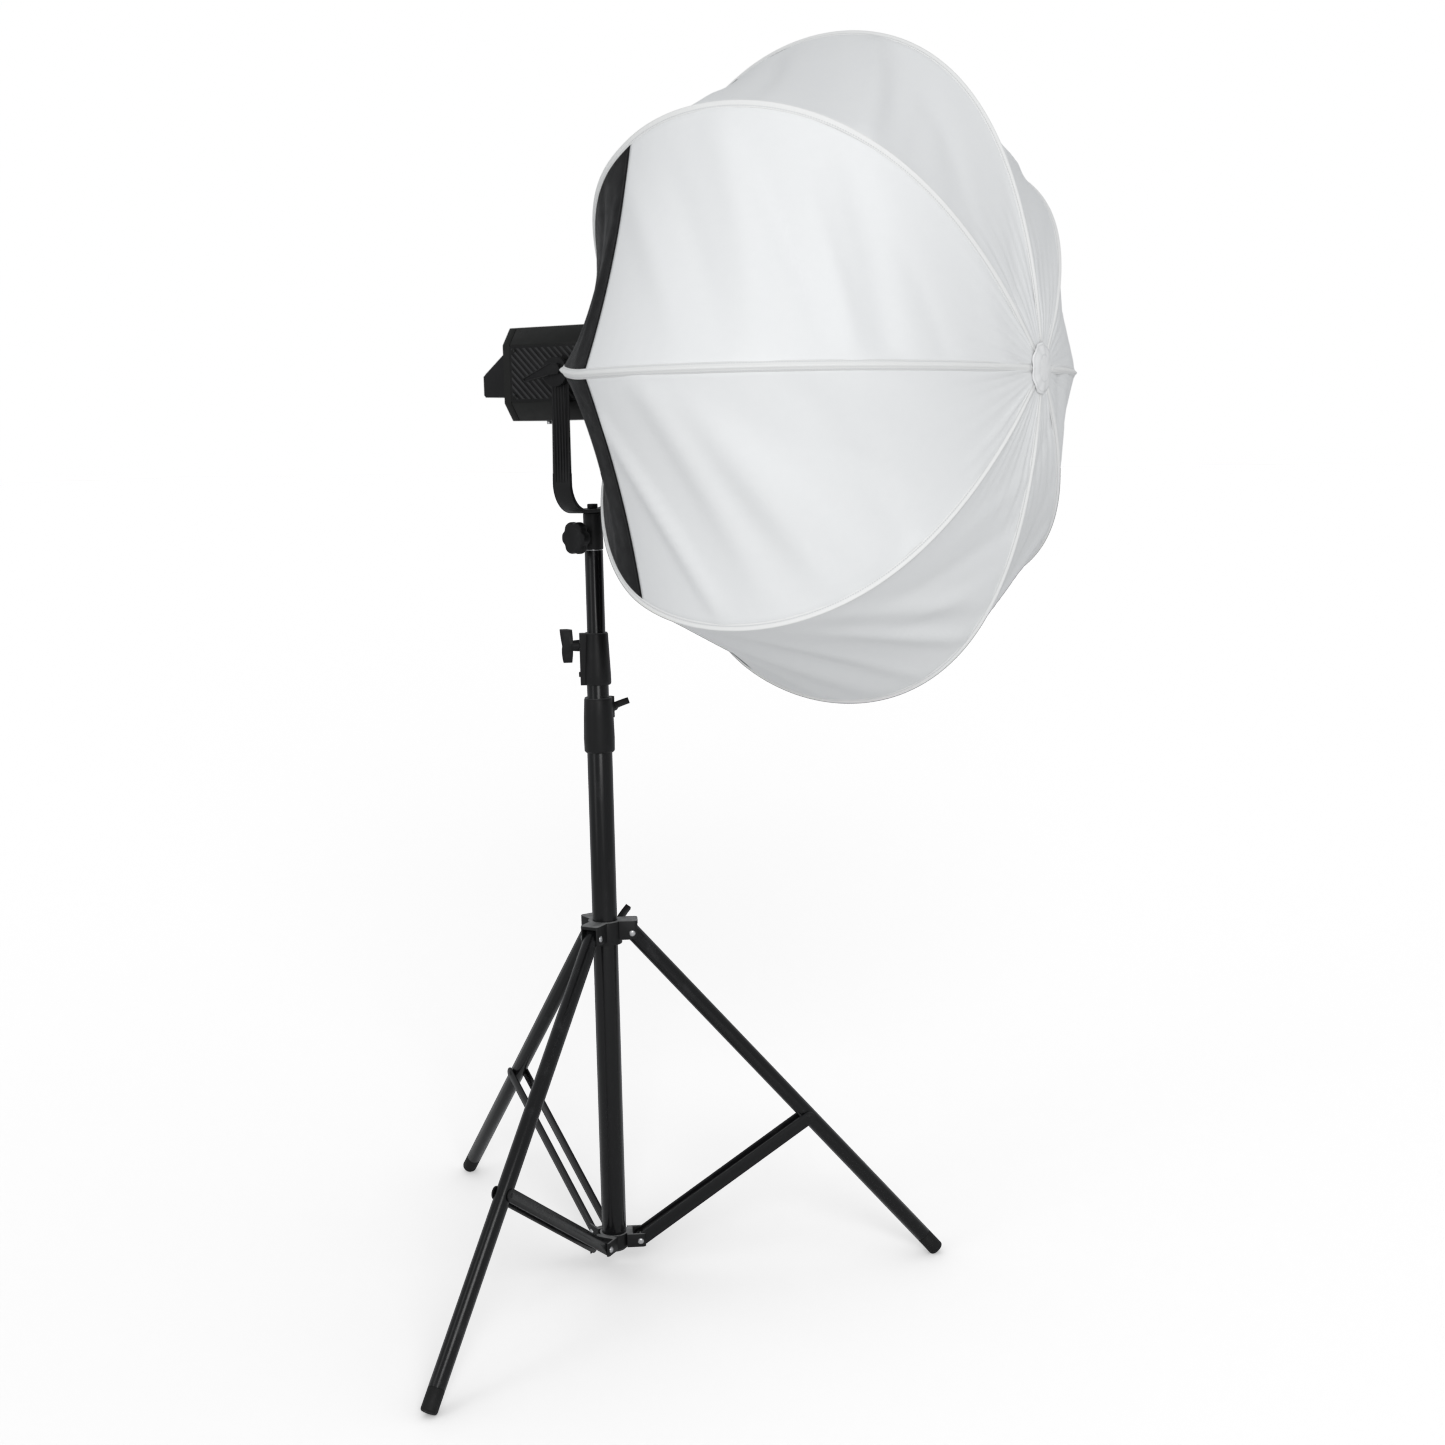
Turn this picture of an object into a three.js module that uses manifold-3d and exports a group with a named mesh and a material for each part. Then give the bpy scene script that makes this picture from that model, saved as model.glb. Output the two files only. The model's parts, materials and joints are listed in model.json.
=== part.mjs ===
// A lantern softbox on a studio lamp head. A yoke carries the head on a folding three-leg stand.
// Millimetres, +Z up, floor at Z = 0, light leaves towards -Y. The stand's column stands at X = Y = 0
// while the pieces are made, and the last lines move the whole object so that its box is centred.
import * as THREE from 'three';
import { mergeVertices } from 'three/addons/utils/BufferGeometryUtils.js';
import Module from 'manifold-3d';

// ---- driving dimensions ----
const TUBE = { main: 17.5, mid: 15, top: 12.5, leg: 11, wall: 1.2 };      // outer radii
const LEG_PIVOT = { radius: 38.6, height: 510 };
const HUB_PIVOT = { radius: 38.6, height: 46 };
const FOOT_END = { radius: 480, height: 5.2 };                             // end of a leg's centre line
const BRACE_AT = 0.57;                                                     // share of the leg above the brace
const LEG_AZIMUTHS = { a: -56.2, b: -176.2, c: 63.8 };                     // degrees
const LOWER_CLAMP = { bottom: 773, top: 850 };
const UPPER_CLAMP = { bottom: 869.5, top: 942 };
const MAIN_TUBE = { bottom: 37.5, top: 838 };
const MID_TUBE = { bottom: 190, top: 932 };
const TOP_TUBE = { bottom: 330, top: 1058.2 };
const SOCKET = { bottom: 1060, top: 1111, radius: 13.2 };
const STUD = { radius: 7.9, depth: 34, flange: 12.2, flangeThick: 1.2, top: SOCKET.top - 9 };
const TILT_HEIGHT = 1302.5;                                                // lamp axis and tilt axis
const YOKE = { halfWidth: 74, thick: 5, width: 28, depth: 191.2, bend: 42, armTop: 14 };
const BODY = { halfWidth: 58, halfHeight: 63.5, flatHalf: 40, topHalf: 40, front: -72, rear: 90, wall: 3 };
const REAR_END = 102;                                                      // back of the rear cover
const CONSOLE = { halfWidth: 40, end: 150, low: -30, high: 36, lip: -1, wall: 2.5 };
const MOUNT = { outer: 48, inner: 40, front: -84 };                        // the lamp's bayonet ring
const RING = { outer: 64, inner: 50, front: -92, back: -75 };              // the softbox's speed ring
const RIB_COUNT = 8;
const RIB_CURVE = [[87, 67], [139, 502], [407, 435], [618, 506], [659, 20]]; // distance ahead, radius
const RIB = { radius: 2, depth: 5.5, from: 0.001, to: 0.983 };             // depth is under the cloth's ridge
const CLOTH = { thick: 1.2, from: 0.007, split: 0.32, join: 0.001 };       // black to split, then white
const SAG = { drop: 17, over: 160 };                                       // the cloth ball hangs on its ribs
const FRONT_HUB = { radius: 38, thick: 8 };
const GAP = 0.3;
const SLIDE_GAP = 0.4;                                                     // round a sliding or fixed tube
const EDGE = 0.1;                                                          // overlap of joined shapes
const BEYOND = 5;                                                          // how far a cutting shape runs past

// ---- materials ----
const paint = (color, roughness, metalness) => new THREE.MeshStandardMaterial({ color, roughness, metalness });
const MATERIAL = {
  tube: paint(0x1b1b1c, 0.3, 0.6), steel: paint(0xb9babc, 0.3, 1), plastic: paint(0x1c1c1d, 0.5, 0),
  casting: paint(0x232324, 0.5, 0.4), rubber: paint(0x1a1a1a, 0.8, 0), body: paint(0x2b2b2c, 0.5, 0.5),
  panel: paint(0x353536, 0.5, 0.3), fins: paint(0x9a9c9e, 0.4, 1), led: paint(0xd8c35a, 0.5, 0),
  glass: paint(0x0a0c10, 0.1, 0), white: paint(0xf2f4f5, 0.9, 0), black: paint(0x17171a, 0.6, 0),
};

// ---- shapes ----
const wasm = await Module();
wasm.setup();

function toSolid(geometry) {
  const bare = geometry.clone();
  bare.deleteAttribute('normal');
  bare.deleteAttribute('uv');
  const merged = mergeVertices(bare, 1e-4);
  const triangles = [];
  for (let i = 0; i < merged.index.count; i += 3) {
    const [a, b, c] = [0, 1, 2].map((k) => merged.index.getX(i + k));
    if (a !== b && b !== c && c !== a) triangles.push(a, b, c);
  }
  return new wasm.Manifold(new wasm.Mesh({
    numProp: 3,
    vertProperties: new Float32Array(merged.attributes.position.array),
    triVerts: new Uint32Array(triangles),
  }));
}

function toGeometry(solid) {
  const mesh = solid.getMesh();
  const geometry = new THREE.BufferGeometry();
  geometry.setAttribute('position', new THREE.BufferAttribute(new Float32Array(mesh.vertProperties), 3));
  geometry.setIndex(new THREE.BufferAttribute(new Uint32Array(mesh.triVerts), 1));
  return geometry;
}

const join = (first, ...rest) => toGeometry(rest.reduce((sum, g) => sum.add(toSolid(g)), toSolid(first)));
const cut = (first, ...rest) => toGeometry(rest.reduce((sum, g) => sum.subtract(toSolid(g)), toSolid(first)));
const rad = THREE.MathUtils.degToRad;

function block([x0, x1], [y0, y1], [z0, z1]) {
  return new THREE.BoxGeometry(x1 - x0, y1 - y0, z1 - z0)
    .translate((x0 + x1) / 2, (y0 + y1) / 2, (z0 + z1) / 2);
}

function aim(geometry, axis) {
  if (axis === 'x') return geometry.rotateZ(-Math.PI / 2);
  return axis === 'z' ? geometry.rotateX(Math.PI / 2) : geometry;
}

// A round bar from one place to another along an axis.
function rod(radius, from, to, axis = 'z', sides = 20, endRadius = radius) {
  const bar = new THREE.CylinderGeometry(endRadius, radius, to - from, sides).translate(0, (from + to) / 2, 0);
  return aim(bar, axis);
}

// A turned shape from [radius, height] pairs that run up its outside.
function turned(profile, axis = 'z', sides = 28) {
  return aim(new THREE.LatheGeometry(profile.map(([r, z]) => new THREE.Vector2(r, z)), sides), axis);
}

function pipe(outer, inner, from, to, axis = 'z', sides = 28) {
  return turned([[outer, from], [outer, to], [inner, to], [inner, from], [outer, from]], axis, sides);
}

// A flat outline in local X and Y, given thickness along local Z from z0 to z1.
function slab(shape, z0, z1, curveSegments = 8) {
  return new THREE.ExtrudeGeometry(shape, { depth: z1 - z0, bevelEnabled: false, curveSegments })
    .translate(0, 0, z0);
}

// Turns a shape so that its local X and Y lie along two named axes.
function turnAxes(geometry, xTo, yTo) {
  const axes = { x: new THREE.Vector3(1, 0, 0), y: new THREE.Vector3(0, 1, 0), z: new THREE.Vector3(0, 0, 1) };
  const third = axes[xTo].clone().cross(axes[yTo]);
  return geometry.applyMatrix4(new THREE.Matrix4().makeBasis(axes[xTo], axes[yTo], third));
}

function outline(points) {
  return new THREE.Shape(points.map(([x, y]) => new THREE.Vector2(x, y)));
}

function range(from, to, steps) {
  return Array.from({ length: steps + 1 }, (_, i) => from + ((to - from) * i) / steps);
}

const softbox = new THREE.Group();

function add(parent, name, geometry, material) {
  const mesh = new THREE.Mesh(geometry, material);
  mesh.name = name;
  parent.add(mesh);
  return mesh;
}

function group(parent, { at = [0, 0, 0], azimuth = 0 } = {}) {
  const made = new THREE.Group();
  made.position.set(...at);
  made.rotation.z = rad(azimuth);
  parent.add(made);
  return made;
}

// ---- legs, braces and the two rings that join them ----
const legRun = FOOT_END.radius - LEG_PIVOT.radius;
const legRise = LEG_PIVOT.height - FOOT_END.height;
const legAngle = Math.atan2(legRun, legRise);
const legLength = Math.hypot(legRun, legRise);
const braceRun = BRACE_AT * legRun;
const braceRise = LEG_PIVOT.height - BRACE_AT * legRise - HUB_PIVOT.height;
const braceAngle = Math.atan2(braceRun, braceRise);
const braceLength = Math.hypot(braceRun, braceRise);
const PIN = 2.9;
const PIN_HOLE = PIN + GAP;
const FOOT = { length: 30, plug: 20, rounding: 3 };
const BAR = { half: 9, thick: 2, inner: TUBE.leg + GAP };

function leg() {
  const above = 6;
  const tube = pipe(TUBE.leg, TUBE.leg - TUBE.wall, -legLength + FOOT.length + GAP, above, 'z', 24);
  return cut(tube, rod(PIN_HOLE, -2 * TUBE.leg, 2 * TUBE.leg, 'y', 12));
}

function foot() {
  const end = -legLength;
  const top = end + FOOT.length;
  const plug = TUBE.leg - TUBE.wall - GAP;
  const r = FOOT.rounding;
  const profile = [[0, end]];
  for (let i = 0; i <= 3; i++) {
    const turn = rad(30 * i);
    profile.push([TUBE.leg - r + r * Math.sin(turn), end + r - r * Math.cos(turn)]);
  }
  profile.push([TUBE.leg, top], [plug, top], [plug, top + FOOT.plug], [0, top + FOOT.plug]);
  const below = 40;
  const floor = block([legRun - below, legRun + below], [-below, below], [-below, 0])
    .translate(0, 0, -LEG_PIVOT.height).rotateY(legAngle);
  return cut(turned(profile, 'z', 24), floor);
}

function braceBar(side) {
  const shape = new THREE.Shape();
  shape.absarc(0, 0, BAR.half, Math.PI, 2 * Math.PI);
  shape.absarc(0, braceLength, BAR.half, 0, Math.PI);
  const hole = new THREE.Path();
  hole.absarc(0, 0, PIN_HOLE, 0, 2 * Math.PI, true);
  shape.holes.push(hole);
  const outer = BAR.inner + BAR.thick;
  const bar = slab(shape, BAR.inner, outer, 5);
  const rivet = rod(4, outer - EDGE, outer + 1, 'z', 12, 3).translate(0, braceLength, 0);
  const upright = join(bar, rivet).rotateX(Math.PI / 2);
  return side === 'right' ? upright : upright.rotateZ(Math.PI);
}

// A lobe that reaches out from a ring and ends in two cheeks around a pivot pin.
function clevis({ pivot, cheek, half, bottom, top, slotFrom, slotTop, slotBottom, from }) {
  const reach = pivot.radius + 8;
  const plan = new THREE.Shape();
  plan.moveTo(from, -half);
  plan.lineTo(reach - 5, -half);
  plan.absarc(reach - 5, -half + 5, 5, -Math.PI / 2, 0);
  plan.absarc(reach - 5, half - 5, 5, 0, Math.PI / 2);
  plan.lineTo(from, half);
  const slot = block([slotFrom, reach + 5], [-cheek, cheek], [slotBottom, slotTop]);
  const pin = rod(PIN, -half - EDGE, half + EDGE, 'y', 12);
  const heads = [0, Math.PI].map((turn) => rod(4, half - EDGE, half + 1, 'y', 12, 3).rotateX(turn));
  const hardware = [pin, ...heads].map((g) => g.translate(pivot.radius, 0, pivot.height));
  return join(cut(slab(plan, bottom, top, 3), slot), ...hardware);
}

const COLLAR = { bottom: 494.5, top: 528, outer: 24 };
const HUB = { bottom: 32, top: 57, outer: 21 };
const collarLobe = {
  pivot: LEG_PIVOT, cheek: TUBE.leg + GAP, half: 14.3, bottom: 501, top: COLLAR.top,
  slotFrom: 25.4, slotTop: 523.7, slotBottom: 490, from: 20,
};
const hubLobe = {
  pivot: HUB_PIVOT, cheek: BAR.inner + BAR.thick + GAP, half: 16.2, bottom: 37.5, top: HUB.top,
  slotFrom: 27, slotTop: 65, slotBottom: 30, from: 19,
};
const azimuths = Object.values(LEG_AZIMUTHS);
const threeLobes = (lobe) => azimuths.map((azimuth) => clevis(lobe).rotateZ(rad(azimuth)));
const SCREW = { radius: 3, hole: 3.4, depth: 6 };                          // shared by the four clamp screws

// A flat boss on a ring with a blind hole for a clamp screw, facing an azimuth.
function screwBoss({ azimuth, height, half, low, high, from, to }) {
  const boss = block([from, to], [-half, half], [low, high]);
  const hole = rod(SCREW.hole, to - SCREW.depth, to + BEYOND, 'x', 12).translate(0, 0, height);
  return { boss: boss.rotateZ(rad(azimuth)), hole: hole.rotateZ(rad(azimuth)) };
}

// from and to are a boss's inner and outer radius, and turn is how far its wing handle is turned.
const COLLAR_SCREW = {
  azimuth: 3.8, height: 513, half: 8, low: 501, high: 525, from: 20, to: 28, wing: 30, turn: 118,
};
const LOWER_SCREW = {
  azimuth: -8, height: 834, half: 8, low: 820, high: LOWER_CLAMP.top, from: 18.3, to: 25, wing: 22, turn: -25,
};
const UPPER_SCREW = {
  azimuth: 125, height: 925, half: 7, low: UPPER_CLAMP.bottom, high: UPPER_CLAMP.top, from: 14, to: 23.7,
};
const UPPER_BOLT = { radius: 3.4, height: 884, stand: 2 };
const SOCKET_SCREW = { azimuth: 167, height: 1077, half: 8, low: 1067, high: 1087, from: 11, to: 17 };

function legCollar() {
  const bore = TUBE.main + SLIDE_GAP;
  const ring = pipe(COLLAR.outer, bore - 3, COLLAR.bottom, COLLAR.top);
  const { boss, hole } = screwBoss(COLLAR_SCREW);
  const whole = join(ring, ...threeLobes(collarLobe), boss);
  return cut(whole, rod(bore, COLLAR.bottom - BEYOND, COLLAR.top + BEYOND, 'z', 28), hole);
}

function bottomHub() {
  const bore = TUBE.main + SLIDE_GAP;
  const cup = turned([[0, HUB.bottom], [HUB.outer - 4, HUB.bottom], [HUB.outer, HUB.bottom + 4],
    [HUB.outer, HUB.top], [0, HUB.top]]);
  return cut(join(cup, ...threeLobes(hubLobe)), rod(bore, HUB.bottom + 4, HUB.top + BEYOND, 'z', 28));
}

function lowerClamp() {
  const { bottom, top } = LOWER_CLAMP;
  const wide = TUBE.main + SLIDE_GAP;
  const narrow = TUBE.mid + SLIDE_GAP;
  const outside = turned([[0, bottom], [19.5, bottom], [21.2, bottom + 2], [21.6, bottom + 20],
    [20.8, bottom + 50], [19.6, top - 2], [19, top], [0, top]]);
  const { boss, hole } = screwBoss(LOWER_SCREW);
  const seat = MAIN_TUBE.top + GAP;
  const bores = [rod(wide, bottom - BEYOND, seat), rod(narrow, seat - BEYOND, top + BEYOND)];
  return cut(join(outside, boss), ...bores, hole);
}

function upperClamp() {
  const { bottom, top } = UPPER_CLAMP;
  const wide = TUBE.mid + SLIDE_GAP;
  const narrow = TUBE.top + SLIDE_GAP;
  const outside = turned([[0, bottom], [18, bottom], [19, bottom + 2], [18.8, bottom + 14],
    [16.2, top - 1], [15.6, top], [0, top]]);
  const { boss, hole } = screwBoss(UPPER_SCREW);
  const seat = MID_TUBE.top + GAP;
  const { to, azimuth } = UPPER_SCREW;
  const bolt = rod(UPPER_BOLT.radius, to - EDGE, to + UPPER_BOLT.stand, 'x', 6)
    .translate(0, 0, UPPER_BOLT.height).rotateZ(rad(azimuth));
  const bores = [rod(wide, bottom - BEYOND, seat), rod(narrow, seat - BEYOND, top + BEYOND)];
  return cut(join(outside, boss, bolt), ...bores, hole);
}

// ---- clamp screws: each turns about its own local X axis ----
const screwPlace = ({ azimuth, height }) => ({ at: [0, 0, height], azimuth });
const shank = ({ to }, head) => rod(SCREW.radius, to - SCREW.depth + 1, head + EDGE, 'x', 12);

function wingScrew(screw) {
  const face = screw.to + GAP;
  const stem = rod(7, face, face + 10, 'x', 16, 6);
  const reach = screw.wing;
  const wings = new THREE.Shape();
  wings.moveTo(0, 2);
  wings.quadraticCurveTo(0.5 * reach, 2, reach, 17);
  wings.lineTo(0.86 * reach, 20);
  wings.quadraticCurveTo(0.5 * reach, 10, 0, 10);
  wings.quadraticCurveTo(-0.5 * reach, 10, -0.86 * reach, 20);
  wings.lineTo(-reach, 17);
  wings.quadraticCurveTo(-0.5 * reach, 2, 0, 2);
  const fin = turnAxes(slab(wings, -4, 4, 4), 'y', 'x').translate(face, 0, 0);
  return join(stem, fin, shank(screw, face)).rotateX(rad(screw.turn));
}

function teeScrew(screw) {
  const face = screw.to + GAP;
  const stem = rod(8, face, face + 12, 'x', 16, 7);
  const bar = new THREE.Shape();
  bar.moveTo(0, 23);
  bar.lineTo(-7, 22);
  bar.quadraticCurveTo(-9, 0, -6, -23);
  bar.lineTo(6, -23);
  bar.quadraticCurveTo(9, -10, 7, 0);
  bar.quadraticCurveTo(9, 10, 10, 23);
  const handle = turnAxes(slab(bar, -6, 6, 4), 'x', 'z').translate(face + 17, 0, 0);
  return join(stem, handle, shank(screw, face));
}

function lobedScrew(screw) {
  const face = screw.to + GAP;
  const knob = { radius: 23, thick: 13, stand: 9, lobes: 6, wave: 1.6 };
  const steps = 48;
  const rim = [];
  for (let i = 0; i < steps; i++) {
    const turn = (2 * Math.PI * i) / steps;
    const r = knob.radius - knob.wave + knob.wave * Math.cos(knob.lobes * turn);
    rim.push([r * Math.cos(turn), r * Math.sin(turn)]);
  }
  const grip = turnAxes(slab(outline(rim), 0, knob.thick), 'y', 'z').translate(face + knob.stand, 0, 0);
  return join(grip, rod(10, face, face + knob.stand + 1, 'x', 20, 13), shank(screw, face));
}

// ---- the stand ----
function buildStand() {
  const { plastic, tube, casting, rubber, steel } = MATERIAL;
  const wall = TUBE.wall;
  add(softbox, 'main_tube', pipe(TUBE.main, TUBE.main - wall, MAIN_TUBE.bottom, MAIN_TUBE.top), tube);
  add(softbox, 'mid_tube', pipe(TUBE.mid, TUBE.mid - wall, MID_TUBE.bottom, MID_TUBE.top), tube);
  add(softbox, 'top_tube', pipe(TUBE.top, TUBE.top - wall, TOP_TUBE.bottom, TOP_TUBE.top, 'z', 24), tube);
  add(softbox, 'bottom_hub', bottomHub(), casting);
  add(softbox, 'leg_collar', legCollar(), casting);
  add(softbox, 'lower_clamp_collar', lowerClamp(), plastic);
  add(softbox, 'upper_clamp_collar', upperClamp(), plastic);
  add(group(softbox, screwPlace(COLLAR_SCREW)), 'leg_collar_wing_screw', wingScrew(COLLAR_SCREW), plastic);
  add(group(softbox, screwPlace(LOWER_SCREW)), 'lower_wing_screw', wingScrew(LOWER_SCREW), plastic);
  add(group(softbox, screwPlace(UPPER_SCREW)), 'upper_tee_screw', teeScrew(UPPER_SCREW), plastic);
  for (const [letter, azimuth] of Object.entries(LEG_AZIMUTHS)) {
    const hinge = group(group(softbox, { azimuth }), { at: [LEG_PIVOT.radius, 0, LEG_PIVOT.height] });
    hinge.rotation.y = -legAngle;
    add(hinge, `leg_${letter}`, leg(), tube);
    add(hinge, `foot_${letter}`, foot(), rubber);
    const brace = group(group(softbox, { azimuth }), { at: [HUB_PIVOT.radius, 0, HUB_PIVOT.height] });
    brace.rotation.y = braceAngle;
    for (const side of ['left', 'right']) add(brace, `brace_${letter}_${side}`, braceBar(side), tube);
  }
  const neck = TOP_TUBE.top + GAP;
  const plug = TUBE.top - wall - GAP;
  const { radius, depth, flange, flangeThick, top } = STUD;
  add(softbox, 'stud', turned([[0, neck - depth], [plug, neck - depth], [plug, neck], [flange, neck],
    [flange, neck + flangeThick], [radius, neck + flangeThick], [radius, top - 1], [radius - 1, top], [0, top]],
  'z', 24), steel);
}

// ---- the yoke, which pans on the stud ----
const YOKE_BOLT = { radius: 4, head: 7.8, headThick: 6, length: 11 };
const PIVOT = { radius: 5, hole: 5.4, boss: 16 };                          // pins and bosses on the tilt axis

function yokeSocket() {
  const { bottom, top, radius } = SOCKET;
  const outside = turned([[0, bottom], [radius, bottom], [radius, top - 1.5], [radius - 1.5, top], [0, top]],
    'z', 24);
  const { boss, hole } = screwBoss(SOCKET_SCREW);
  const bore = rod(STUD.radius + SLIDE_GAP, bottom - BEYOND, STUD.top + 1, 'z', 24);
  const boltHole = rod(YOKE_BOLT.radius + GAP, STUD.top + 2, top + BEYOND, 'z', 12);
  return cut(join(outside, boss), bore, hole, boltHole);
}

function yokeStrap() {
  const { halfWidth, thick, width, depth, bend, armTop } = YOKE;
  const shape = new THREE.Shape();
  shape.moveTo(-halfWidth, 0);
  shape.absarc(-halfWidth + bend, -depth + bend, bend, Math.PI, 1.5 * Math.PI);
  shape.absarc(halfWidth - bend, -depth + bend, bend, 1.5 * Math.PI, 2 * Math.PI);
  shape.lineTo(halfWidth, 0);
  shape.lineTo(halfWidth - thick, 0);
  shape.absarc(halfWidth - bend, -depth + bend, bend - thick, 0, -0.5 * Math.PI, true);
  shape.absarc(-halfWidth + bend, -depth + bend, bend - thick, 1.5 * Math.PI, Math.PI, true);
  shape.lineTo(-halfWidth + thick, 0);
  const strap = slab(shape, -width / 2, width / 2, 7).rotateX(Math.PI / 2);
  const left = rod(armTop, -halfWidth, -halfWidth + thick, 'x', 24);
  const right = rod(armTop, halfWidth - thick, halfWidth, 'x', 24);
  const pivotHole = rod(PIVOT.hole, -halfWidth - BEYOND, halfWidth + BEYOND, 'x', 16);
  const boltHole = rod(YOKE_BOLT.radius + GAP, -depth - BEYOND, -depth + thick + BEYOND, 'z', 12);
  return cut(join(strap, left, right), pivotHole, boltHole);
}

function buildYoke() {
  const { plastic, casting, steel } = MATERIAL;
  add(softbox, 'yoke_socket', yokeSocket(), casting);
  add(group(softbox, screwPlace(SOCKET_SCREW)), 'socket_knob', lobedScrew(SOCKET_SCREW), plastic);
  const pivot = group(softbox, { at: [0, 0, TILT_HEIGHT] });
  add(pivot, 'yoke_strap', yokeStrap(), casting);
  const face = -YOKE.depth + YOKE.thick + GAP;
  const { radius, head, headThick, length } = YOKE_BOLT;
  const shaft = rod(radius, face - length, face + EDGE, 'z', 12);
  const bolt = join(rod(head, face, face + headThick, 'z', 6), shaft);
  add(pivot, 'yoke_bolt', bolt, steel);
}

// ---- the lamp head, built around the tilt axis ----
function bodyOutline(inset = 0) {
  const [w, h, f, t] = [BODY.halfWidth, BODY.halfHeight, BODY.flatHalf, BODY.topHalf].map((v) => v - inset);
  return outline([[-w, -f], [-t, -h], [t, -h], [w, -f], [w, f], [t, h], [-t, h], [-w, f]]);
}

// A prism of the body's outline between two places along Y.
function bodyPrism(from, to, inset = 0) {
  return slab(bodyOutline(inset), -to, -from).rotateX(Math.PI / 2);
}

function lampHousing() {
  const { front, rear, wall, halfWidth } = BODY;
  const mouth = rod(MOUNT.inner, front - BEYOND, front + 2 * wall, 'y', 32);
  const shell = cut(bodyPrism(front, rear), bodyPrism(front + wall + 1, rear + BEYOND, wall), mouth);
  const bossEnd = YOKE.halfWidth - YOKE.thick - PANEL.gap;
  const bosses = [0, Math.PI].map((turn) => rod(PIVOT.boss, halfWidth - 2, bossEnd, 'x', 24).rotateZ(turn));
  return cut(join(shell, ...bosses), rod(PIVOT.hole, -bossEnd - BEYOND, bossEnd + BEYOND, 'x', 16));
}

// The rear cover, with vent slots above the control console.
const SLOT = { half: 30, heights: [41, 46, 51], tall: 2.4 };

function rearCover() {
  const from = BODY.rear + GAP;
  const slots = SLOT.heights.map((z) => block([-SLOT.half, SLOT.half],
    [from - BEYOND, REAR_END + BEYOND], [z, z + SLOT.tall]));
  return cut(bodyPrism(from, REAR_END), bodyPrism(from - BEYOND, REAR_END - BODY.wall, BODY.wall), ...slots);
}

// The console's outline in Y and Z, with a sloping top face that carries the controls.
function consoleOutline(inset = 0) {
  const { end, low, high, lip } = CONSOLE;
  const back = REAR_END + GAP - inset * 4;
  const lean = inset * 1.3;
  return outline([[back, low + inset], [end - 3 - inset / 2, low + inset], [end - inset, low + 3 + inset],
    [end - inset, lip - lean / 2], [REAR_END + 2, high - lean], [back, high - lean]]);
}

const slopeRun = CONSOLE.end - REAR_END - 2;
const slopeDrop = CONSOLE.high - CONSOLE.lip;
const slope = {
  y: REAR_END + 2 + slopeRun / 2, z: CONSOLE.high - slopeDrop / 2, tilt: -Math.atan2(slopeDrop, slopeRun),
};
const BUTTON = { radius: 3.6, places: [-8, 0, 8], x: -30, height: 1.6 };
const DIAL = { radius: 8.5, x: 28, height: 9 };
const SWITCH = { x: 17, z: -15, width: 19, height: 12 };
const INLET = { x: -15, z: -15, radius: 10, wall: 1.8, pin: 1.2, pinAt: 3, length: 12 };
const DISPLAY = { x: [-21, 17], half: 13, height: 2.6 };

const onSlope = (geometry) => geometry.rotateX(slope.tilt).translate(0, slope.y, slope.z);

function rearConsole() {
  const { halfWidth, end, wall } = CONSOLE;
  const shape = (inset) => turnAxes(
    slab(consoleOutline(inset), -halfWidth + inset, halfWidth - inset), 'y', 'z');
  const pockets = BUTTON.places.map((y) => onSlope(rod(BUTTON.radius + GAP, -5, 5, 'z', 12)
    .translate(BUTTON.x, y, 0)));
  const inlet = rod(INLET.radius + GAP, end - 5, end + 5, 'y', 20).translate(INLET.x, 0, INLET.z);
  const { x, z, width, height } = SWITCH;
  const window = block([x - width / 2 - 0.5, x + width / 2 + 0.5], [end - 5, end + 5],
    [z - height / 2 - 0.5, z + height / 2 + 0.5]);
  return cut(shape(0), shape(wall), ...pockets, inlet, window);
}

function powerInlet() {
  const { radius, x, z, wall, pin, pinAt, length } = INLET;
  const { end } = CONSOLE;
  const floor = end - length + 3;
  const cup = cut(rod(radius, end - length, end, 'y', 20), rod(radius - wall, floor, end + BEYOND, 'y', 20));
  const pins = [-pinAt, pinAt].map((px) => rod(pin, floor - 1, end - 2, 'y', 8).translate(px, 0, 0));
  return join(cup, ...pins).translate(x, 0, z);
}

const SINK = { half: 40, tall: 42, front: -52, base: 8, back: 36, pitch: 11, fin: 3 };
const CHIP = { half: 22, thick: 3, lens: 17, lensThick: 1.5 };
const FAN = { middle: 52, halfLength: 6, hub: 13, blades: 7, root: 11, tip: 34, halfChord: 5, pitch: 40 };
const FAN_FRAME = { half: 39, from: 42, to: 60, bore: 36, bar: 2 };
const PANEL = { thick: 2, half: 37.5, front: 10, rear: 1, gap: 0.5 };

function heatSink() {
  const { half, tall, front, base, back, pitch, fin } = SINK;
  const fins = [];
  for (let x = -half; x + fin <= half; x += pitch) {
    fins.push(block([x, x + fin], [front + base - EDGE, back], [-tall, tall]));
  }
  return join(block([-half, half], [front, front + base], [-tall, tall]), ...fins);
}

function ledChip() {
  const { half, thick, lens, lensThick } = CHIP;
  const back = SINK.front - GAP;
  const front = back - thick;
  const cover = rod(lens, front - lensThick, front + EDGE, 'y', 24);
  return join(block([-half, half], [front, back], [-half, half]), cover);
}

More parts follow.
